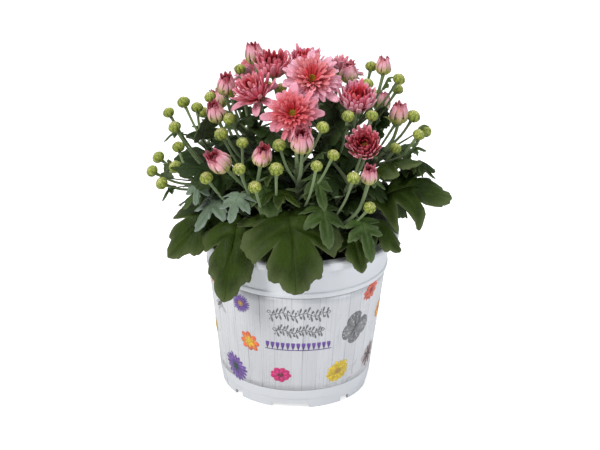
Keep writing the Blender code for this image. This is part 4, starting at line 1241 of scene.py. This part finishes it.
# Each leaf's name, stem, height of the foot on the stem, base of the blade, tip, arch, width, roll towards
# +Y, lobes, finish, cup.
LEAVES = (
    ("front", "front", 12, (-6, -49, 30), (0, -86, -9), 9, 62, 0, "broad", leaf_old, 0.1),
    ("front_left", "front_left", 5, (-36, -42, 21), (-46, -78, -19), 11, 46, 0, "broad", leaf_old, -0.2),
    ("left", "left", 10, (-44, -24, 22), (-84, -42, -5), 6, 46, 26, "broad", leaf_old, 0.0),
    ("right", "right", 20, (50, -29, 32), (100, -23, 31), 8, 62, 25, "fingered", leaf_old, 0.0),
    ("right_low", "right", 8, (44, -34, 18), (66, -50, 4), 5, 36, 0, "broad", leaf_old, 0.0),
    ("front_right_low", "front_right", -2, (34, -42, 12), (42, -68, -3), 5, 24, 0, "broad", leaf_old, 0.1),
    ("front_right", "front_right", 26, (40, -50, 26), (48, -69, 4), 4, 26, 0, "lobed", leaf_young, 0.1),
    ("front_light", "front", 26, (14, -48, 34), (21, -71, 14), 4, 30, 0, "lobed", leaf_young, 0.0),
    ("front_left_pale", "front_left", 36, (-37, -50, 42), (-43, -66, 28), 3, 24, 0, "lobed", leaf_pale, 0.0),
    ("left_pale", "left", 17, (-48, -28, 30), (-67, -48, 15), 4, 30, 0, "lobed", leaf_pale, 0.0),
    ("left_high", "left", 14, (-42, 22, 27), (-84, 24, 38), 6, 40, 20, "broad", leaf_dark, 0.0),
    ("crown_front", "crown", 54, (-8, -10, 66), (-24, -28, 66), 5, 28, 0, "broad", leaf_dark, 0.0),
    ("crown_right", "crown_right", 50, (22, -2, 72), (26, -8, 94), 2, 20, 0, "broad", leaf_dark, 0.0),
    ("right_toothed", "right", 42, (68, -10, 48), (91, -12, 46), 4, 28, 0, "fingered", leaf_dark, 0.0),
    ("back", "back_right", 8, (10, 50, 27), (6, 87, -9), 8, 54, 0, "broad", leaf_old, 0.1),
    ("back_left", "back_left", 5, (-34, 46, 16), (-50, 74, -14), 5, 44, 0, "broad", leaf_old, 0.0),
    ("back_right", "back_right", -3, (40, 38, 20), (61, 62, -8), 5, 46, 0, "broad", leaf_old, 0.0),
    ("left_back", "left", 12, (-48, 22, 16), (-82, 42, -2), 5, 46, 0, "broad", leaf_dark, 0.0),
    ("right_back", "crown_right", 10, (46, 18, 22), (86, 26, 0), 6, 50, 0, "broad", leaf_dark, 0.0),
    ("back_mid", "back_left", 28, (-16, 52, 40), (-12, 80, 24), 5, 36, 0, "lobed", leaf_young, 0.0),
    ("back_left_high", "back_left", 24, (-46, 48, 34), (-70, 64, 24), 5, 36, 0, "lobed", leaf_dark, 0.0),
    ("back_right_high", "back_right", 26, (42, 54, 38), (58, 76, 24), 5, 36, 0, "lobed", leaf_young, 0.0),
    ("right_high", "right", 40, (56, 16, 46), (78, 32, 38), 5, 36, 0, "lobed", leaf_dark, 0.0),
)


def leaf_line(line, height, base, tip, arch):
    """A leaf's midrib, from its seat on the shoot's side through the base of the blade and over its arch."""
    base, tip = planted(*base), planted(*tip)
    foot, rising, share = along(line, height)
    away = (base - foot).normalized()
    shoot_radius = STEM_RADIUS + (SHOOT_RADIUS - STEM_RADIUS) * share
    foot += (away - rising * away.dot(rising)).normalized() * (shoot_radius - STALK_SINK)
    return [foot, base, base.lerp(tip, 0.5) + Vector((0, 0, arch * PLANT_UNIT)), tip]


def add_leaf(name, midrib, width, roll, lobes, layer, cup, seed, *nodes):
    """A leaf's blade, which stands for the nodes, and its stalk."""
    work = Patchwork()
    leaf_blade(work, midrib, width * PLANT_UNIT, roll, lobes, seed, cup)
    thicken(add_piece(name, work.mesh(name), [layer, leaf_under], "leaf", *nodes), LEAF_THICKNESS, 1)
    rib = Patchwork()
    leaf_stalk(rib, midrib, width * PLANT_UNIT)
    add_piece(name.replace("blade", "stalk"), rib.mesh(name), [leaf_under], "stem")


for order, (name, carrier, height, base, tip, arch, width, roll, lobes, layer, cup) in enumerate(LEAVES):
    midrib = leaf_line(stem_lines(carrier)[0], height, base, tip, arch)
    add_leaf(f"blade_{name}", midrib, width, roll, lobes, layer, cup, order, f"leaf_{name}")

for order, (name, layout) in enumerate(STEMS.items()):
    for count, (shoot, height, base, tip, arch, width, lobes) in enumerate(layout["leaves"]):
        midrib = leaf_line(stem_lines(name)[shoot], height, base, tip, arch)
        seed = 50 + 3 * order + count
        add_leaf(f"young_blade_{name}_{count}", midrib, width, 0, lobes, leaf_young, 0.0, seed)

# ---- Inner leaves ----
# More leaves stand in a spiral up every stem, mostly hidden under the crown. They are the same soft blades in
# a darker finish, painted shade for want of light, and close the plant up so that little shows through it.

# For each stem, the lowest and highest foot above the rim in millimetres, and the number of leaves.
FILL = {
    "crown": (10, 64, 11), "crown_left": (6, 58, 10), "crown_right": (6, 62, 10),
    "left": (5, 50, 9), "right": (5, 52, 9), "front_left": (8, 38, 6),
    "front": (10, 50, 8), "front_right": (8, 42, 7), "back_left": (6, 44, 8),
    "back_right": (6, 48, 8),
}
GOLDEN = 137.5          # degrees from one leaf to the next
INNER_REACH = 0.066     # no inner leaf's tip is further from the middle
INNER_FRONT = -0.030    # or further forward
OVER_RIM = 0.052        # tips further out than this stay above the rim
UNDER_RIM = 0.006       # how far the others may hang below it
INNER_ARCH = 0.0045

for order, (name, (low, high, count)) in enumerate(FILL.items()):
    line = stem_lines(name)[0]
    chance = random.Random(90 + order)
    work, rib = Patchwork(), Patchwork()
    for i in range(count):
        height = low + (high - low) * i / (count - 1)
        foot, rising, share = along(line, height)
        heading = GOLDEN * i + 40 * order + chance.uniform(-15, 15)
        long, stalk = chance.uniform(24, 34), chance.uniform(7, 12)
        away = facing(heading, chance.uniform(10, 35)) * stalk * PLANT_UNIT
        out = facing(heading, chance.uniform(-28, 8)) * long * PLANT_UNIT
        base = foot + away
        tip = base + out
        if tip.xy.length > INNER_REACH:
            tip.xy *= INNER_REACH / tip.xy.length
            tip.z = max(tip.z, RIM_Z + 0.004)
        base.z = max(base.z, RIM_Z - UNDER_RIM)
        tip.z = max(tip.z, RIM_Z + 0.004 if tip.xy.length > OVER_RIM else RIM_Z - UNDER_RIM)
        tip.y = max(tip.y, INNER_FRONT)
        midrib = [foot, base, base.lerp(tip, 0.5) + Vector((0, 0, INNER_ARCH)), tip]
        width = chance.uniform(24, 34) * PLANT_UNIT
        roll = chance.uniform(-25, 25)
        lobes = chance.choice(("broad", "broad", "lobed"))
        leaf_blade(work, midrib, width, roll, lobes, 300 + 10 * order + i, rows_out=24, columns=5)
        leaf_stalk(rib, midrib, width)
    blades = add_piece(f"inner_blades_{name}", work.mesh("inner"), [leaf_dark, leaf_under], "leaf")
    thicken(blades, LEAF_THICKNESS, 1)
    add_piece(f"inner_stalks_{name}", rib.mesh("inner"), [downy_stem], "stem")

# Leaves that show between the stalks and beside the buds: stem, base of the blade, tip, width, lobes, finish.
SPRAY = (
    ("crown", (-6, -12, 64), (-30, -16, 74), 34, "broad", leaf_dark),
    ("crown_right", (26, 2, 77), (17, -4, 94), 26, "broad", leaf_dark),
    ("front_right", (15, -22, 66), (32, -26, 84), 36, "broad", leaf_dark),
    ("crown_right", (45, 0, 69), (57, 4, 83), 28, "broad", leaf_dark),
    ("right", (47, -28, 50), (78, -34, 60), 30, "broad", leaf_old),
    ("left", (-47, -22, 43), (-82, -26, 49), 40, "broad", leaf_dark),
    ("left", (-65, 0, 61), (-60, -4, 79), 22, "broad", leaf_old),
    ("crown_left", (-32, -4, 73), (-22, -2, 86), 22, "lobed", leaf_dark),
    ("crown_left", (-41, -6, 75), (-20, -12, 79), 24, "lobed", leaf_dark),
    ("right", (70, -12, 56), (84, -14, 61), 18, "lobed", leaf_young),
    ("right", (74, -14, 51), (91, -16, 42), 20, "lobed", leaf_old),
    ("crown_right", (54, 0, 98), (62, 2, 106), 8, "lobed", leaf_young),
    ("right", (77, -10, 71), (85, -12, 77), 9, "lobed", leaf_young),
    ("left", (-78, 4, 63), (-91, 2, 58), 10, "lobed", leaf_young),
    ("left", (-84, -18, 39), (-86, -20, 53), 9, "lobed", leaf_young),
    ("left", (-81, -22, 35), (-90, -26, 26), 10, "lobed", leaf_young),
    ("left", (-65, -34, 42), (-67, -42, 30), 18, "lobed", leaf_pale),
    ("front_left", (-19, -40, 50), (-5, -46, 59), 26, "lobed", leaf_old),
    ("front", (11, -42, 48), (17, -52, 33), 24, "lobed", leaf_old),
    ("front_left", (-18, -46, 42), (1, -56, 36), 28, "lobed", leaf_old),
    ("back_left", (-34, 50, 62), (-52, 56, 70), 24, "lobed", leaf_dark),
    ("back_left", (-14, 52, 58), (-2, 62, 68), 26, "broad", leaf_dark),
    ("back_right", (38, 52, 62), (54, 54, 72), 24, "lobed", leaf_dark),
    ("back_right", (16, 50, 60), (6, 60, 72), 26, "broad", leaf_dark),
)
for order, (carrier, base, tip, width, lobes, layer) in enumerate(SPRAY):
    midrib = leaf_line(stem_lines(carrier)[0], base[2] - 9, base, tip, 3)
    add_leaf(f"spray_blade_{order}", midrib, width, 0, lobes, layer, 0.0, 700 + order)

# ---- Coloured buds and blooms ----
# Every head is a green cup of bracts with rings of strap petals in it. Open blooms lay their pale outer
# petals flat round a coral middle and a yellow eye, half-open ones stand as cups, and buds have dark mouths.
PALE_PINK, PINK, CORAL = (0.94, 0.54, 0.65), (0.86, 0.26, 0.38), (0.86, 0.14, 0.16)
RED, CRIMSON = (0.74, 0.050, 0.072), (0.20, 0.003, 0.018)
CORAL_TIP, PETAL_GREEN = (0.92, 0.36, 0.38), (0.52, 0.58, 0.13)
EYE_YELLOW, EYE_GREEN = (0.62, 0.46, 0.03), (0.34, 0.36, 0.03)
PETAL_THICKNESS, CUP_THICKNESS = 0.00028, 0.0003
EYE_KNOBS = 34
EYE_TURN = 2.39996      # from one knob of the eye to the next

PETAL_LINES, lines_in, lines_out = new_group(
    "petal_lines", (("Tint", "Color", (1, 1, 1, 1)), ("Depth", "Float", 0.35)),
    (("Colour", "Color"), ("Height", "Float")),
)
flat = node(PETAL_LINES, "UVMap", {"uv_map": "flat"}).outputs[0]
along_petal = node(PETAL_LINES, "Mapping", Vector=flat, Scale=(5.5, 0.8, 1.0)).outputs[0]
ribbing = node(PETAL_LINES, "TexNoise", Vector=along_petal, Scale=1.6, Detail=3.0).outputs[0]
line_mask = between(PETAL_LINES, ribbing, 0.42, 0.62)
darker = multiplied(PETAL_LINES, 1.0, lines_in["Tint"], (0.86, 0.55, 0.62, 1))
line_share = maths(PETAL_LINES, "MULTIPLY", line_mask, lines_in["Depth"])
PETAL_LINES.links.new(blend(PETAL_LINES, line_share, lines_in["Tint"], darker), lines_out["Colour"])
PETAL_LINES.links.new(ribbing, lines_out["Height"])


def petal_finish(name, wash, wash_share, depth):
    """A petal's finish: its own tint under a wash, with lines as deep as depth says."""
    made, tree, shader = finish(name, Sheen_Weight=0.05, Sheen_Roughness=0.4, IOR=1.4)
    washed = blend(tree, wash_share, tint_of(tree), (*wash, 1))
    ruled = place_group(tree, PETAL_LINES, Tint=washed, Depth=depth)
    uneven = place_group(tree, UNEVEN, Broad=240.0, Fine=2400.0)
    softer = multiplied(tree, 0.35, ruled["Colour"], (0.8, 0.62, 0.66, 1))
    colour = blend(tree, between(tree, uneven["Mottle"], 0.35, 0.65), softer, ruled["Colour"])
    soft = between(tree, uneven["Grain"], 0.3, 0.7, 0.42, 0.60)
    surface(tree, shader, colour, soft, ruled["Height"], 0.35, 0.0004)
    return made


petal_face = petal_finish("petal_face", (0.8, 0.4, 0.5), 0.0, 0.75)
petal_back = petal_finish("petal_back", (0.90, 0.52, 0.62), 0.14, 0.65)


def petal(work, turn, path, width, cup, tint_at, widest=0.62, foot=0.34, twist=0.0):
    """A strap petal along a path of (reach, height) points, hollowed and gently ribbed, facing inwards."""
    spine = [Vector((reach, 0, height)) for reach, height in path]
    rows, stations = [], 9
    for i in range(stations + 1):
        share = i / stations
        place, way = curve_at(spine, share * (len(path) - 1))
        rise = foot + (1 - foot) * math.sin(min(1, share / widest) * math.pi / 2)
        close = math.sqrt(max(0, 1 - (max(0, share - widest) / (1.03 - widest)) ** 2.4))
        breadth = width / 2 * rise * max(0.15, close)
        face = way.cross(Vector((0, 1, 0)))
        swing = Matrix.Rotation(twist * share, 3, way)
        row = []
        for across in (-1, -0.62, -0.3, 0, 0.3, 0.62, 1):
            hollow = cup * across * across * (0.4 + 0.6 * share)
            hollow -= 0.07 * math.cos(across * 9.4) * (1 - abs(across))
            offset = swing @ (Vector((0, across * breadth, 0)) + face * hollow * breadth)
            if share == 1 and across in (-0.3, 0.3):
                offset += way * breadth * 0.35
            row.append((turn @ (place + offset), tint_at(share, across), (across * 0.5, share)))
        rows.append(row)
    work.net(rows)


# Rings of petals from the outside in: (count, path of (reach, height), width, cup, foot tint, tip tint), as
# shares of the head's radius.
PETAL_RINGS = {
    "open": (
        (8, ((0.10, 0.10), (0.42, 0.16), (0.80, 0.20), (1.16, 0.18)), 0.31, 0.32, PINK, PALE_PINK),
        (18, ((0.10, 0.13), (0.40, 0.25), (0.74, 0.33), (1.00, 0.34)), 0.195, 0.44, CORAL, PALE_PINK),
        (22, ((0.09, 0.17), (0.36, 0.35), (0.62, 0.48), (0.85, 0.53)), 0.155, 0.52, RED, PALE_PINK),
        (22, ((0.08, 0.20), (0.30, 0.42), (0.50, 0.60), (0.69, 0.72)), 0.130, 0.60, RED, CORAL_TIP),
        (19, ((0.07, 0.24), (0.22, 0.46), (0.37, 0.66), (0.52, 0.80)), 0.110, 0.64, RED, CORAL_TIP),
        (14, ((0.06, 0.26), (0.15, 0.46), (0.25, 0.64), (0.33, 0.76)), 0.095, 0.66, RED, CORAL),
    ),
    "half": (
        (
            13, ((0.16, 0.04), (0.66, 0.26), (0.98, 0.66), (1.10, 1.04), (1.20, 1.28)), 0.29, 0.42, CORAL,
            PALE_PINK,
        ),
        (
            17, ((0.14, 0.10), (0.60, 0.38), (0.84, 0.84), (0.90, 1.18), (0.96, 1.40)), 0.24, 0.50, RED,
            PALE_PINK,
        ),
        (16, ((0.12, 0.18), (0.48, 0.46), (0.66, 0.92), (0.68, 1.22), (0.72, 1.44)), 0.20, 0.55, RED, PINK),
        (
            13, ((0.10, 0.24), (0.36, 0.54), (0.48, 0.94), (0.48, 1.24), (0.48, 1.46)), 0.19, 0.60, CRIMSON,
            CORAL,
        ),
        (9, ((0.08, 0.28), (0.22, 0.58), (0.30, 0.92), (0.28, 1.16), (0.26, 1.34)), 0.16, 0.65, CRIMSON, RED),
    ),
    "brush": (
        (6, ((0.14, 0.06), (0.56, 0.10), (1.00, 0.10), (1.40, 0.02)), 0.42, 0.30, PINK, PALE_PINK),
        (15, ((0.13, 0.10), (0.50, 0.24), (0.86, 0.44), (1.12, 0.74)), 0.24, 0.42, RED, PALE_PINK),
        (18, ((0.12, 0.14), (0.42, 0.36), (0.68, 0.68), (0.86, 1.02)), 0.20, 0.50, RED, PINK),
        (18, ((0.10, 0.18), (0.32, 0.46), (0.50, 0.82), (0.62, 1.16)), 0.17, 0.55, RED, PALE_PINK),
        (15, ((0.08, 0.22), (0.22, 0.52), (0.34, 0.88), (0.40, 1.20)), 0.15, 0.60, RED, CORAL_TIP),
        (10, ((0.06, 0.26), (0.12, 0.52), (0.18, 0.84), (0.20, 1.10)), 0.14, 0.60, CRIMSON, RED),
    ),
    "bud": (
        (
            9, ((0.26, 0.06), (0.84, 0.34), (1.02, 0.84), (0.94, 1.40), (0.72, 1.90), (0.64, 2.16)), 0.60,
            0.40, PETAL_GREEN, PALE_PINK,
        ),
        (
            9, ((0.22, 0.14), (0.70, 0.50), (0.84, 1.00), (0.78, 1.54), (0.66, 2.04), (0.70, 2.40)), 0.44,
            0.45, PETAL_GREEN, PINK,
        ),
        (
            7, ((0.16, 0.30), (0.48, 0.70), (0.60, 1.20), (0.58, 1.66), (0.52, 2.04), (0.54, 2.36)), 0.36,
            0.50, RED, RED,
        ),
        (
            6, ((0.10, 0.40), (0.28, 0.84), (0.36, 1.30), (0.34, 1.70), (0.28, 2.00), (0.24, 2.14)), 0.28,
            0.55, CRIMSON, CRIMSON,
        ),
    ),
}
# Rings of bracts of the green cup: (count, path, width), in the same way.
CUP_RINGS = {
    "open": (
        (9, ((0.10, -0.01), (0.22, 0.04), (0.34, 0.12), (0.44, 0.20)), 0.20),
        (9, ((0.08, -0.03), (0.17, 0.0), (0.27, 0.06), (0.35, 0.13)), 0.18),
    ),
    "brush": (
        (9, ((0.12, -0.01), (0.30, 0.04), (0.44, 0.14), (0.56, 0.26)), 0.28),
        (8, ((0.10, -0.04), (0.22, 0.0), (0.36, 0.08), (0.46, 0.17)), 0.24),
    ),
    "half": (
        (9, ((0.12, -0.01), (0.42, 0.06), (0.70, 0.26), (0.86, 0.50)), 0.34),
        (8, ((0.10, -0.04), (0.32, 0.02), (0.56, 0.16), (0.72, 0.34)), 0.30),
    ),
    "bud": (
        (8, ((0.18, -0.02), (0.62, 0.10), (0.94, 0.46), (1.02, 0.88)), 0.52),
        (7, ((0.14, -0.06), (0.46, 0.02), (0.80, 0.28), (0.94, 0.58)), 0.46),
    ),
}

# How far a head has faded from red towards its pale tips, where it isn't USUAL_FADING.
USUAL_FADING = 1.2
FADING = {
    "bloom_crown": 1.5, "bloom_front": 0.72, "bloom_left": 0.85, "bloom_crown_left": 0.75, "bloom_right": 1.3,
    "bloom_front_right": 0.8,
}


TILTS = {"open": 0.10, "brush": 0.10, "half": 0.085, "bud": 0.045}     # spread of the petals' tilts
EYES = {"open": (0.30, 0.17), "brush": (0.44, 0.14), "half": (0.62, 0.20)}      # height and reach of the eye
SEAT = ((0.02, -0.06), (0.13, -0.05), (0.18, 0.04), (0.16, 0.16), (0.02, 0.20))
KNOB = ((0.010, -0.12), (0.022, 0.0), (0.030, 0.06), (0.022, 0.10), (0.004, 0.105))


def turned_rows(profile, sides, centre, turn, size, tint):
    """Rows of a small turned shape, from a profile of (radius, height) points that runs up its outside."""
    rows = []
    for radius, height in profile:
        ring = [centre + Vector((c * radius, s * radius, height)) for c, s in spokes(sides, -1)]
        rows.append([(turn @ (point * size), tint, (0, 0)) for point in ring])
    return rows


def coloured_head(name, kind, place, way, radius, seed):
    """A head's petals and its green cup, which stand for its node."""
    chance = random.Random(seed)
    size = radius * PLANT_UNIT
    stand = Matrix.Translation(planted(*place)) @ facing(*way).to_track_quat("Z", "Y").to_matrix().to_4x4()
    petals, cup = Patchwork(), Patchwork()
    flat_open = kind in ("open", "brush")
    fading = FADING.get(name, USUAL_FADING)
    for ring, (count, path, width, hollow, foot_tint, tip_tint) in enumerate(PETAL_RINGS[kind]):
        for i in range(count):
            angle = math.tau * (i + 0.5 * (ring % 2) + chance.uniform(-0.22, 0.22)) / count
            long, tilt = chance.uniform(0.74, 1.06), chance.gauss(0, TILTS[kind])
            bent = []
            for step, (reach, height) in enumerate(path):
                share = step / (len(path) - 1)
                out = path[0][0] + (reach - path[0][0]) * (long if flat_open else 1)
                out += tilt * share * share * (-0.3 if flat_open else 1)
                up = path[0][1] + (height - path[0][1]) * (1 if flat_open else long) + tilt * share
                bent.append((out * size, up * size))
            shade = chance.uniform(0.88, 1.10)
            flush = chance.uniform(-0.25, 0.35)

            def tint_at(share, across):
                faded = share * fading * (1.25 if ring == 0 else 1) - 0.13 + flush * (1 - share)
                tone = mixed(foot_tint, tip_tint, min(1, max(0, faded)))
                if kind == "bud":
                    tone = mixed(tone, foot_tint, min(1, max(0, 0.60 - share) / 0.34))
                    mouth = max(0, share - 0.66) / 0.34
                    tone = mixed(tone, RED if ring == 0 else CRIMSON, mouth * min(0.9, 0.62 + 0.14 * ring))
                if kind == "half" and ring == 0:
                    tone = mixed(tone, CORAL_TIP, max(0, 0.4 - share) * 0.8)
                edge = abs(across) ** 3 * 0.18
                return tuple(min(1, c * shade) for c in mixed(tone, PALE_PINK, edge if ring < 3 else 0))

            turn = stand @ Matrix.Rotation(angle, 4, "Z")
            breadth = width * size * chance.uniform(0.9, 1.08)
            petal(petals, turn, bent, breadth, hollow, tint_at, twist=chance.uniform(-0.25, 0.25))
    for count, path, width in CUP_RINGS[kind]:
        for i in range(count):
            turn = stand @ Matrix.Rotation(math.tau * (i + chance.uniform(-0.12, 0.12)) / count, 4, "Z")
            scaled = [(reach * size, height * size) for reach, height in path]
            green = mixed(LIME_DEEP, LIME, chance.uniform(0.2, 0.7) + (0.25 if kind == "bud" else 0))

            def bract_tint(share, across):
                return mixed(green, BRACT_EDGE, max(abs(across) ** 3 * 0.7, share**6))

            petal(cup, turn, scaled, width * size, 0.5, bract_tint, 0.4, 0.6)
    cup.net(turned_rows(SEAT, 12, Vector(), stand, size, LIME_DEEP), ring=True, caps=True)
    if kind != "bud":
        lift, reach = EYES[kind]
        for i in range(EYE_KNOBS):
            share = math.sqrt((i + 0.5) / EYE_KNOBS)
            foot = Vector((math.cos(i * EYE_TURN), math.sin(i * EYE_TURN), 0)) * reach * share
            foot.z = lift + 0.10 * (1 - share**2)
            tone = mixed(EYE_YELLOW, CRIMSON, 0.5)
            if kind == "open":
                tone = mixed(EYE_GREEN, EYE_YELLOW, min(1, share * 1.1))
            petals.net(turned_rows(KNOB, 6, foot, stand, size, tone), ring=True, caps=True)
    slot = "bud" if kind == "bud" else "petals"
    face = add_piece(f"petals_{name}", petals.mesh("petals"), [petal_face, petal_back], slot, name)
    thicken(face, PETAL_THICKNESS, 1)
    thicken(add_piece(f"cup_{name}", cup.mesh("cup"), [bract_green], "bud", name), CUP_THICKNESS)


for order, (name, kind, _, place, way, radius) in enumerate(HEADS):
    coloured_head(name, kind, place, way, radius, 200 + order)
